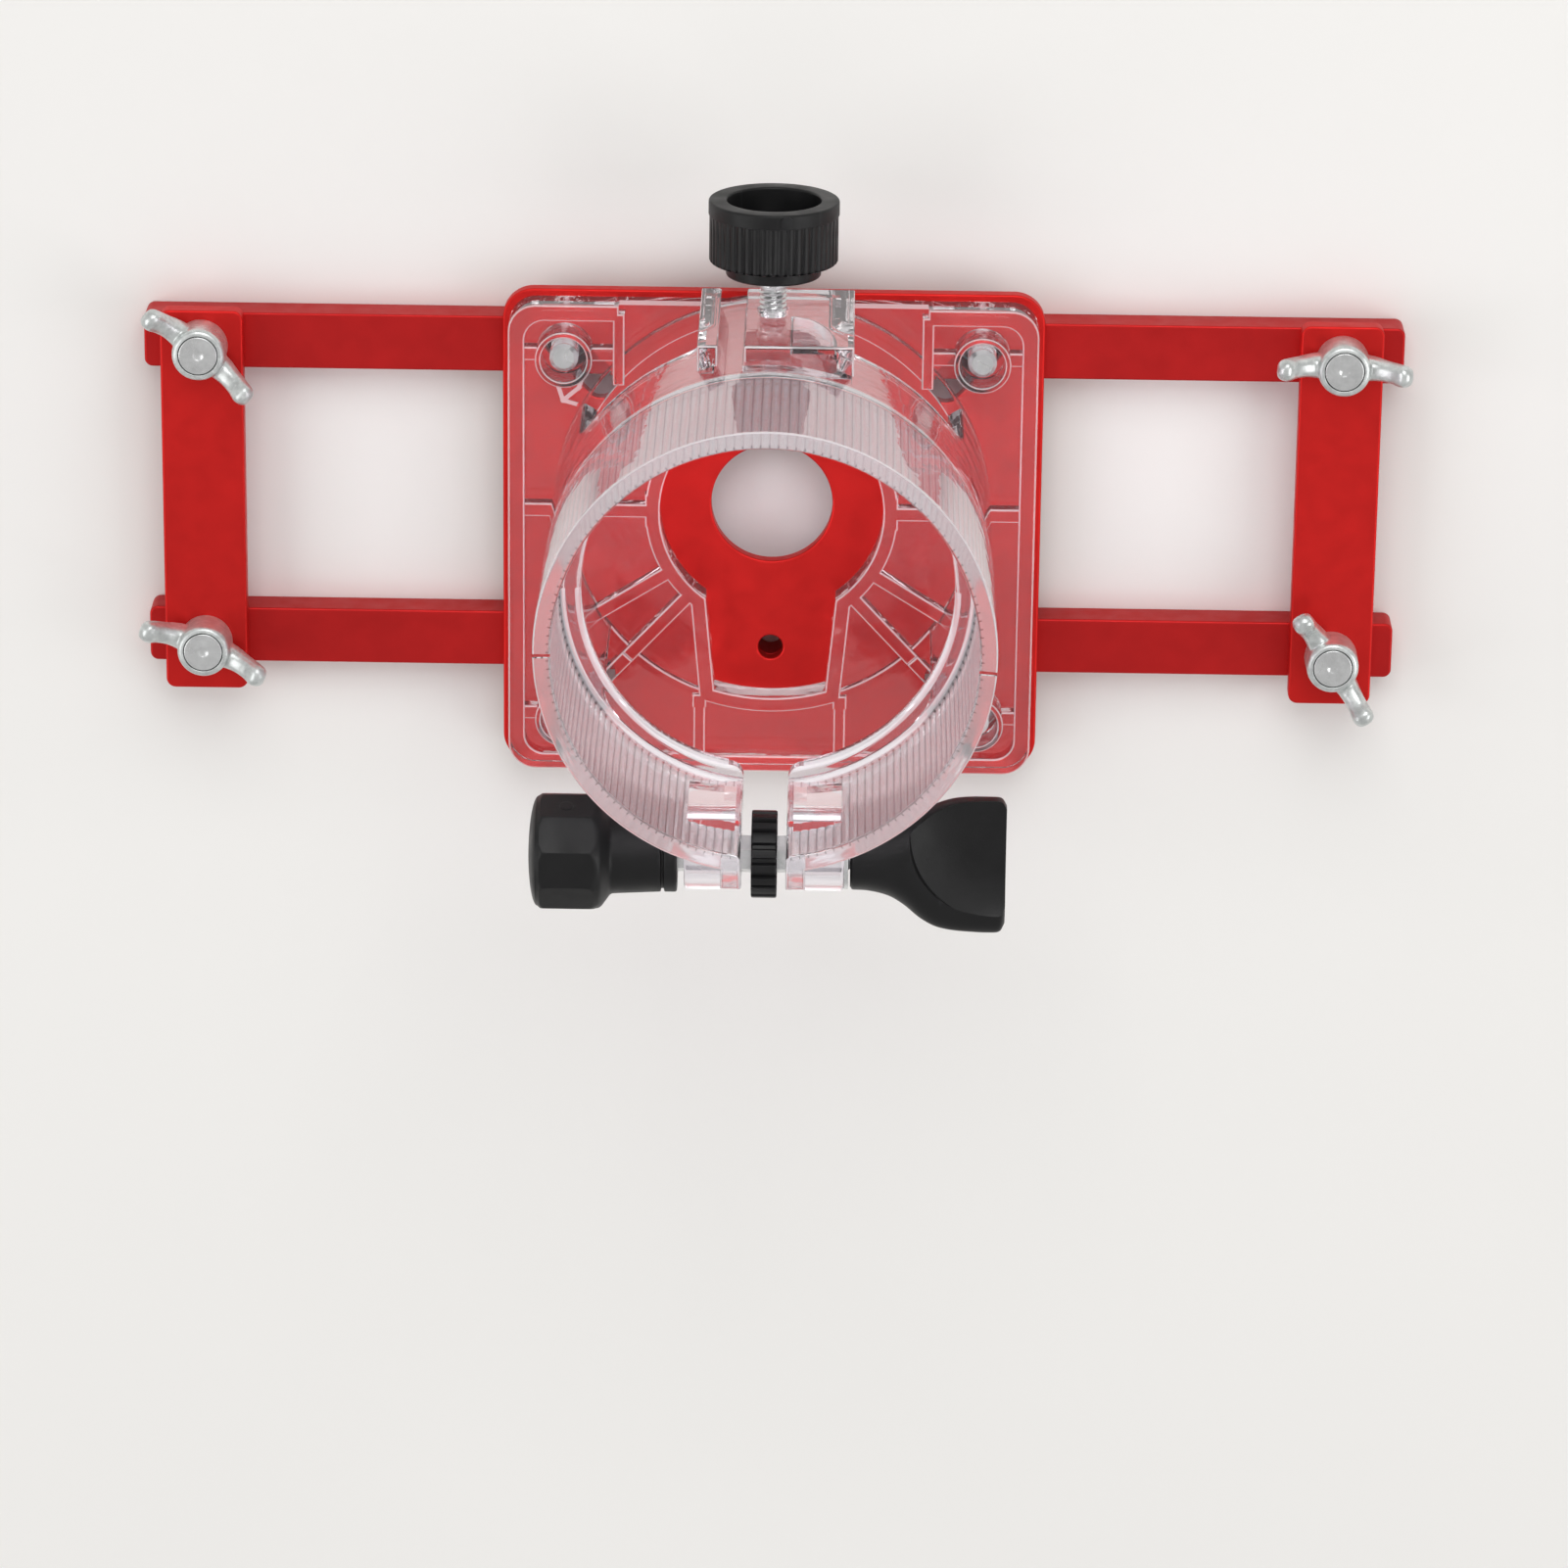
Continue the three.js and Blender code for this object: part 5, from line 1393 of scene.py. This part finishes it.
def depth_knob(s):
    """The faceted knob: collar, groove, neck, shouldered grip and a domed end with a gate mark."""
    low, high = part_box("depth_knob")
    over_all = high.x - low.x
    radius = (high.y - low.y) / 2
    grip_end = over_all - s.grip_dome
    grip_start = grip_end - s.grip_length
    collar, groove, groove_low, groove_high = s.knob_collar, 0.55 * MM, 2 * MM, 2.5 * MM
    shoulder, bevel = 1.5 * MM, 0.75 * MM
    corners = [
        (0, 0), (collar, 0), (collar, groove_low), (collar - groove, groove_low),
        (collar - groove, groove_high), (collar, groove_high), (s.knob_neck, grip_start - shoulder),
        (radius - bevel, grip_start), (radius, grip_start + shoulder), (radius, grip_end - bevel),
        (radius - bevel, grip_end),
    ]
    profile = rounded_profile(corners, edge=0.45 * MM)
    ring_gap = 0.6 * MM
    levels = []
    for (r0, z0), (r1, z1) in zip(profile, profile[1:]):
        steps = max(1, int((z1 - z0) / ring_gap))
        levels += [(r0 + (r1 - r0) * k / steps, z0 + (z1 - z0) * k / steps) for k in range(steps)]
    dome = [math.radians(9 * i) for i in range(11)]
    levels += [((radius - bevel) * math.cos(a), grip_end + s.grip_dome * math.sin(a)) for a in dome]
    levels[-1] = (0, over_all)
    apothem = radius * math.cos(math.pi / s.facets)
    facets_start, softness = grip_start - 1.2 * MM, 0.06 * MM
    shaped = faceted(s.facets, apothem, softness, facets_start)
    knob = turned("depth_knob_grip", levels, sides=24 * s.facets, shaped=shaped)
    depth = high.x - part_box("adjuster_shaft")[0].x + 2 * s.play
    cut(knob, hex_bar("shaft_pocket", s.hex_flats + 2 * s.play, -OVERRUN, depth))
    # The gate mark on one of the facets, in millimetres
    mark = [(0, -0.4), (1.15, -0.4), (1.1, 0.12), (0.6, 0.2), (0, 0.1)]
    turn, mark_height = spin(72), 5.4 * MM
    gate = turned("gate_mark", [(r * MM, z * MM) for r, z in mark], sides=24)
    moved(gate, turn=turn @ ALONG_X)
    place = turn @ Vector((apothem - 0.05 * MM, 0, 0))
    return joined(knob, moved(gate, x=place.x, y=place.y, z=grip_start + mark_height))


# Place along the lever, then how far front edge, rear edge and thickness are from neck to blade
LEVER_TABLE = (
    (0, 0, 0, 0), (0.12, 0.02, 0.01, 0), (0.25, 0.14, 0.08, 0.05), (0.35, 0.36, 0.22, 0.15),
    (0.45, 0.66, 0.45, 0.35), (0.55, 0.86, 0.72, 0.6), (0.66, 0.95, 0.92, 0.8), (0.8, 0.99, 1, 0.9),
    (0.93, 1, 1, 0.9), (0.975, 0.95, 0.93, 0.9), (1, 0.78, 0.7, 0.8),
)
# Where the blade's rounded end starts, the places of its closer stations, and the count of the others
LEVER_END, END_PLACES, LEVER_STEPS = 0.95, [0.965, 0.975, 0.984, 0.992, 0.997, 1.0], 72
# How much narrower the neck starts and over which share, how much flatter the end is, how square the blade
NECK_LOSS, NECK_RUN, END_LOSS, BLADE_SQUARENESS = 0.1, 0.02, 0.28, 1.3


def clamp_lever(s, insert_radius, insert_length, bore_depth):
    """The paddle: a round neck that flares into a broad blade with dished faces."""
    low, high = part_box("clamp_lever")
    over_all = high.x - low.x
    half, neck = s.blade_thickness / 2, s.lever_neck
    along, rearward, up = Vector((1, 0, 0)), Vector((0, 1, 0)), Vector((0, 0, 1))
    stations = []
    for place in [i / LEVER_STEPS * LEVER_END for i in range(LEVER_STEPS + 1)] + END_PLACES:
        front, rear, thin = (max(0, min(1, value)) for value in eased(LEVER_TABLE, place))
        shrink = 1 - NECK_LOSS * (1 - min(1, place / NECK_RUN)) ** 2
        high_share = 1 - END_LOSS * max(0.0, (place - LEVER_END) / (1 - LEVER_END)) ** 3
        stations.append((
            along * (over_all * place), rearward, up,
            (neck + (s.blade_rear - neck) * rear) * shrink,
            (neck + (s.blade_front - neck) * front) * shrink,
            (neck + (half - neck) * thin) * shrink * high_share, 2 + BLADE_SQUARENESS * thin))
    lever = swept("clamp_lever_paddle", stations, sides=96)
    steps = 16
    sag = [(s.dish_radius * i / steps, s.dish_depth * ((i / steps) ** 3 - 1)) for i in range(steps + 1)]
    # Above the blade's face the tool for the dish flares
    rim = [(s.dish_radius * 1.012, 0.5 * MM), (s.dish_radius * 1.03, 3 * MM), (0, 3 * MM)]
    tools = []
    for side in (1, -1):
        turn = None if side > 0 else spin(180, "X")
        dish = turned("dish", sag + rim, sides=96)
        tools.append(moved(dish, x=s.dish_along, y=s.dish_rear, z=side * half, turn=turn))
    seat_outline = circle(0, 0, insert_radius + s.play, steps=48)
    bore_outline = circle(0, 0, s.thread_radius + 2 * s.play, steps=32)
    seat = slab("insert_seat", seat_outline, -OVERRUN, insert_length + s.play)
    bore = slab("thread_bore", bore_outline, 0, bore_depth)
    return cut(lever, *tools, moved(seat, turn=ALONG_X), moved(bore, turn=ALONG_X))


def sleeve(name, inner, outer, over_all, edge):
    """A tube along Z with rounded edges."""
    middle_radius = (inner + outer) / 2
    corners = [(middle_radius, 0), (outer, 0), (outer, over_all), (inner, over_all), (inner, 0),
               (middle_radius - 0.01 * MM, 0)]
    return turned(name, rounded_profile(corners, edge), sides=64, closed=True)


def guide_knob(s):
    """The guide knob: a plain collar, a fluted grip, a smooth rim and a cup in its outer face."""
    low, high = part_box("guide_knob")
    over_all = high.y - low.y
    radius = (high.x - low.x) / 2
    collar, collar_radius, rim_width, grip_inset = 2.3 * MM, 7.5 * MM, 2.3 * MM, 0.15 * MM
    grip, rim, cup = radius - grip_inset, over_all - rim_width, s.cup_radius
    cup_floor = over_all - s.cup_depth
    corners = [
        (0, 0), (collar_radius, 0), (collar_radius, collar), (grip, collar), (grip, rim), (radius, rim),
        (radius, over_all), (cup, over_all), (cup, cup_floor), (0, cup_floor),
    ]
    shaped = fluted(s.flutes, s.flute_depth, z0=collar + 0.05 * MM, z1=rim - 0.1 * MM)

    def gripped(angle, reach, height):
        return shaped(angle, reach, height) if reach > cup + MM else reach

    profile = rounded_profile(corners, edge=0.4 * MM)
    knob = turned("guide_knob_grip", profile, sides=10 * s.flutes, shaped=gripped)
    # The gate mark on the rim, in millimetres
    mark = [(0, -0.5), (1.05, -0.5), (1.0, 0.1), (0, 0.2)]
    gate = turned("gate_mark", [(r * MM, z * MM) for r, z in mark], sides=24)
    moved(gate, x=radius - 0.02 * MM, z=over_all - 1.2 * MM, turn=ALONG_X)
    joined(knob, moved(gate, turn=spin(-78)))
    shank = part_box("guide_screw")[1].y - low.y + s.play
    return cut(knob, slab("shank_hole", circle(0, 0, s.guide_thread + s.play, steps=32), -OVERRUN, shank))


def guide_screw(s, pitch, depth):
    """The guide screw with its bright shoulder under the knob."""
    low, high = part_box("guide_screw")
    over_all, radius = high.y - low.y, s.guide_thread
    shoulder_width, shoulder_radius, chamfer, plain = 1.4 * MM, 2.6 * MM, 0.5 * MM, 0.1 * MM
    shoulder_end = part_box("guide_knob")[0].y - low.y - 2 * s.play
    shoulder = shoulder_end - shoulder_width
    heights = thread_heights(chamfer, shoulder - plain, pitch)
    profile = [(0, 0), (radius - chamfer, 0), *[(radius, z) for z in heights]]
    profile += rounded_profile(
        [(radius, shoulder), (shoulder_radius, shoulder), (shoulder_radius, shoulder_end),
         (radius, shoulder_end), (radius, over_all)], edge=0.2 * MM)
    profile.append((0, over_all))
    thread = threaded(pitch, depth, z0=0.3 * MM, z1=shoulder)
    return turned("guide_screw_shank", profile, sides=48, shaped=thread)


# Operators


class ROUTERBASE_OT_stage(bpy.types.Operator):
    """Set the floor, the soft lights and the photograph's camera"""
    bl_idname = "router_base.stage"
    bl_label = "Stage"

    camera_place: FloatVectorProperty(
        name="Camera place", description="Where the camera stands", size=3, subtype="TRANSLATION",
        default=(0.010959, 0.328503, 1.068473))
    camera_turn: FloatVectorProperty(
        name="Camera turn", description="The camera's rotation", size=3, subtype="EULER",
        default=tuple(math.radians(a) for a in (-19.6602, 0.6808, 0.6520)))
    photo_width: IntProperty(
        name="Photo width", description="Width of the photograph in pixels", default=1601)
    photo_focal: IntProperty(
        name="Photo focal", description="Focal length in the photo's pixels", default=7000)
    floor_reach: FloatProperty(
        name="Floor reach", description="From the middle to the floor's sides", default=3, unit="LENGTH")

    def execute(self, context):
        scene = context.scene
        scene.view_settings.view_transform = "Standard"
        self.add_camera(scene)
        self.add_floor(scene)
        self.add_lights(scene)
        return {"FINISHED"}

    def add_camera(self, scene):
        data = bpy.data.cameras.new("photo_camera")
        data.sensor_width = 36
        data.lens = self.photo_focal / self.photo_width * data.sensor_width
        data.clip_end = 20
        camera = bpy.data.objects.new("photo_camera", data)
        camera.location = self.camera_place
        camera.rotation_euler = self.camera_turn
        scene.collection.objects.link(camera)
        scene.camera = camera

    def add_floor(self, scene):
        reach = self.floor_reach
        mesh = bpy.data.meshes.new("floor")
        corners = [(x, y, CAD_BOX[0][2]) for x, y in oblong(-reach, reach, -reach, reach)]
        mesh.from_pydata(corners, [], [(0, 1, 2, 3)])
        floor = bpy.data.objects.new("floor", mesh)
        scene.collection.objects.link(floor)
        rgb = scene.router_base.finishes.floor
        material, tree, surface = start_material("floor_paper", {"Roughness": 0.9})
        clouds = effect(tree, "Mottling", {"First": opaque(rgb), "Second": opaque(rgb, 0.97), "Scale": 3.0})
        feed(tree, surface, {"Base Color": clouds["Colour"]})
        mesh.materials.append(material)

    def add_lights(self, scene):
        world = bpy.data.worlds.new("studio")
        world.use_nodes = True
        background = world.node_tree.nodes["Background"]
        background.inputs["Color"].default_value = (1, 0.99, 0.98, 1)
        background.inputs["Strength"].default_value = 0.55
        scene.world = world
        # Name, place, size in metres and watts
        softboxes = [
            ("softbox_rear", (0.1, 1.0, 1.1), 1.0, 9.0),
            ("softbox_left", (-1.1, -0.1, 0.9), 0.8, 5.0),
            ("softbox_right", (1.1, -0.2, 0.9), 0.8, 5.0),
        ]
        for name, place, size, watts in softboxes:
            data = bpy.data.lights.new(name, "AREA")
            data.shape = "SQUARE"
            data.size = size
            data.energy = watts
            lamp = bpy.data.objects.new(name, data)
            lamp.location = place
            lamp.rotation_euler = (-Vector(place)).to_track_quat("-Z", "Y").to_euler()
            scene.collection.objects.link(lamp)


class ROUTERBASE_OT_clear_base(bpy.types.Operator):
    """Mould the clear socket with its ribbed floor, split ring, lugs and guide bracket"""
    bl_idname = "router_base.clear_base"
    bl_label = "Clear base"

    def execute(self, context):
        s = context.scene.router_base.clear
        self.share_out(finished(clear_base(s), "clear_base", crease=28), s)
        return {"FINISHED"}

    def share_out(self, piece, s):
        """Gives the clamp ring's faces the frosted finish, and the rounded upper edges and the arrow's tops
        the painted highlight.
        """
        # Index 2 is the painted highlight
        frosted, bright = 1, 2
        for name in ("frosted_ring", "bright_edge"):
            piece.data.materials.append(finish(name))
        # How far up the normals of upper, flat and steep faces point, a thin skin, and an ample edge
        upper, flat, steep, skin, ample = 0.25, 0.97, 0.5, 0.05 * MM, 1.5
        axis = Vector((BIT_X, bit_y(s), 0))
        outer = s.bore_radius + s.barrel_wall
        floor_top = PLATE_HIGH.z + s.floor_thickness
        crest = floor_top + s.rib_height
        for face in piece.data.polygons:
            height = face.center.z
            reach = (face.center - axis).xy.length
            lined = abs(reach - s.bore_radius) < ample * s.rib_depth and height > s.ring_bottom + s.edge
            rounded = upper < face.normal.z < flat
            sill = height < crest + s.edge and abs(reach - outer) < ample * s.edge
            rim_inside = height > s.ring_bottom + s.edge and reach < outer - s.barrel_wall / 2
            ledge_rear = reach < outer - s.edge and height > s.front_window_top and face.center.y > axis.y
            ledge_foot = height > s.ring_bottom + OVERRUN and reach < s.bore_radius + s.edge
            marking = floor_top + skin < height < floor_top + 1.2 * s.mark_height
            rim_top = height > BASE_HIGH.z - skin and s.bore_radius < reach < outer
            if rim_top or (lined and abs(face.normal.z) < steep):
                face.material_index = frosted
            elif sill or rim_inside or ledge_rear or ledge_foot:
                continue
            # A painted highlight on rounded upper edges and on the arrow's tops
            elif rounded or (face.normal.z > upper and marking):
                face.material_index = bright


class ROUTERBASE_OT_anodised_bars(bpy.types.Operator):
    """Make the plate, the two rails and the two cross bars"""
    bl_idname = "router_base.anodised_bars"
    bl_label = "Plate, rails and bars"

    def execute(self, context):
        settings = context.scene.router_base
        s = settings.metal
        finished(plate(s, settings.clear), "base_plate")
        for side in ("left", "right"):
            studs = [f"{place}_wing_stud" for place in WING_TURNS if place.endswith(side)]
            name = f"{side}_cross_bar"
            finished(bar(name, s.bar_corner, holes_at(studs, STUD_HOLE, steps=32), s.edge), name)
        y = middle("front_rail").y
        holes = {
            "rear": holes_at(("rear_left_base_screw", "rear_right_base_screw"), BASE_HEAD_HOLE),
            "front": [
                circle(BIT_X, y, s.pilot_hole, steps=40),
                *holes_at(("front_rail_left_screw", "front_rail_right_screw"), RAIL_HEAD_HOLE, y=y),
            ],
        }
        for row, others in holes.items():
            studs = holes_at((f"{row}_left_wing_stud", f"{row}_right_wing_stud"), STUD_HOLE)
            name = f"{row}_rail"
            finished(bar(name, s.rail_end, studs + others, s.edge), name)
        return {"FINISHED"}


class ROUTERBASE_OT_wing_bolts(bpy.types.Operator):
    """Cast the four wing heads and turn their studs"""
    bl_idname = "router_base.wing_bolts"
    bl_label = "Wing bolts"

    def execute(self, context):
        s = context.scene.router_base.metal
        head = wing_head(s)
        stud = wing_stud(s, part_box("rear_left_wing_stud")[0].z - BAR_TOP)
        for place, degrees in WING_TURNS.items():
            centre = middle(f"{place}_wing_stud")
            for master, kind in ((head, "wing_head"), (stud, "wing_stud")):
                piece = copied(master, f"{place}_{kind}_made")
                moved(piece, x=centre.x, y=centre.y, z=BAR_TOP, turn=spin(degrees))
                finished(piece, f"{place}_{kind}", crease=38)
        discard(head)
        discard(stud)
        return {"FINISHED"}


class ROUTERBASE_OT_screws(bpy.types.Operator):
    """Turn the base screws and the front rail's screws"""
    bl_idname = "router_base.screws"
    bl_label = "Screws"

    def execute(self, context):
        s = context.scene.router_base.metal
        for name in sorted(n for n in frame["nodes"] if n.endswith("_screw") and n != "guide_screw"):
            low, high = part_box(name)
            in_rail = name.startswith("front_rail")
            radius, head = (s.rail_screw, s.rail_head) if in_rail else (s.base_screw, s.base_head)
            screw = slotted_screw(s, low.z, high.z, radius, head, sunk=in_rail or name.startswith("rear"))
            screw.name = f"{name}_made"
            centre = middle(name)
            finished(moved(screw, x=centre.x, y=centre.y), name)
        return {"FINISHED"}


class ROUTERBASE_OT_depth_adjuster(bpy.types.Operator):
    """Make the shaft, the pinion and the faceted depth knob"""
    bl_idname = "router_base.depth_adjuster"
    bl_label = "Depth adjuster"

    def execute(self, context):
        settings = context.scene.router_base
        s, metal = settings.knobs, settings.metal
        shaft = adjuster_shaft(s, metal.thread_pitch, metal.thread_depth)
        finished(on_adjuster(shaft, BIT_X), "adjuster_shaft")
        finished(on_adjuster(pinion(s), BIT_X), "adjuster_pinion")
        knob = on_adjuster(depth_knob(s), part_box("depth_knob")[1].x, ALONG_MINUS_X)
        finished(knob, "depth_knob", crease=28)
        return {"FINISHED"}


class ROUTERBASE_OT_clamp_lever(bpy.types.Operator):
    """Make the lever, its threaded insert and the washer"""
    bl_idname = "router_base.clamp_lever"
    bl_label = "Clamp lever"

    def execute(self, context):
        s = context.scene.router_base.knobs
        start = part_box("clamp_lever")[0].x
        low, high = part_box("lever_insert")
        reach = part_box("adjuster_shaft")[1].x - start + 2 * s.play
        lever = clamp_lever(s, (high.y - low.y) / 2, high.x - low.x, reach)
        finished(on_adjuster(lever, start, turn=None), "clamp_lever", crease=30)
        tubes = (("lever_insert", "insert_sleeve", 0.25 * MM), ("clamp_washer", "washer_disc", 0.12 * MM))
        for node, name, edge in tubes:
            low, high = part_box(node)
            tube = sleeve(name, s.thread_radius + 2 * s.play, (high.y - low.y) / 2, high.x - low.x, edge)
            finished(on_adjuster(tube, low.x), node)
        return {"FINISHED"}


class ROUTERBASE_OT_guide_screw(bpy.types.Operator):
    """Make the fluted guide knob and its screw"""
    bl_idname = "router_base.guide_screw"
    bl_label = "Guide screw"

    def execute(self, context):
        settings = context.scene.router_base
        s, metal = settings.knobs, settings.metal
        knob = on_guide_screw(guide_knob(s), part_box("guide_knob")[0].y)
        finished(knob, "guide_knob", crease=38)
        screw = guide_screw(s, metal.thread_pitch, metal.thread_depth)
        finished(on_guide_screw(screw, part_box("guide_screw")[0].y), "guide_screw")
        return {"FINISHED"}


class ROUTERBASE_PT_panel(bpy.types.Panel):
    """Lists the steps that build the router base"""
    bl_idname = "ROUTERBASE_PT_panel"
    bl_label = "Router Base"
    bl_space_type = "VIEW_3D"
    bl_region_type = "UI"
    bl_category = "Router Base"

    def draw(self, context):
        for operator in STEPS:
            self.layout.operator(operator.bl_idname)


STEPS = (
    ROUTERBASE_OT_stage,
    ROUTERBASE_OT_anodised_bars,
    ROUTERBASE_OT_clear_base,
    ROUTERBASE_OT_wing_bolts,
    ROUTERBASE_OT_screws,
    ROUTERBASE_OT_depth_adjuster,
    ROUTERBASE_OT_clamp_lever,
    ROUTERBASE_OT_guide_screw,
)
CLASSES = (
    RouterBaseClearSizes,
    RouterBaseMetalSizes,
    RouterBaseKnobSizes,
    RouterBaseFinishes,
    RouterBaseSettings,
    *STEPS,
    ROUTERBASE_PT_panel,
)


def register():
    """Registers the classes and the scene's settings."""
    for cls in CLASSES:
        bpy.utils.register_class(cls)
    bpy.types.Scene.router_base = PointerProperty(type=RouterBaseSettings)


def unregister():
    """Takes the settings and the classes away again."""
    del bpy.types.Scene.router_base
    for cls in reversed(CLASSES):
        bpy.utils.unregister_class(cls)


def main():
    """Builds the whole object."""
    register()
    for operator in STEPS:
        section, name = operator.bl_idname.split(".")
        getattr(getattr(bpy.ops, section), name)()


if __name__ == "__main__":
    main()
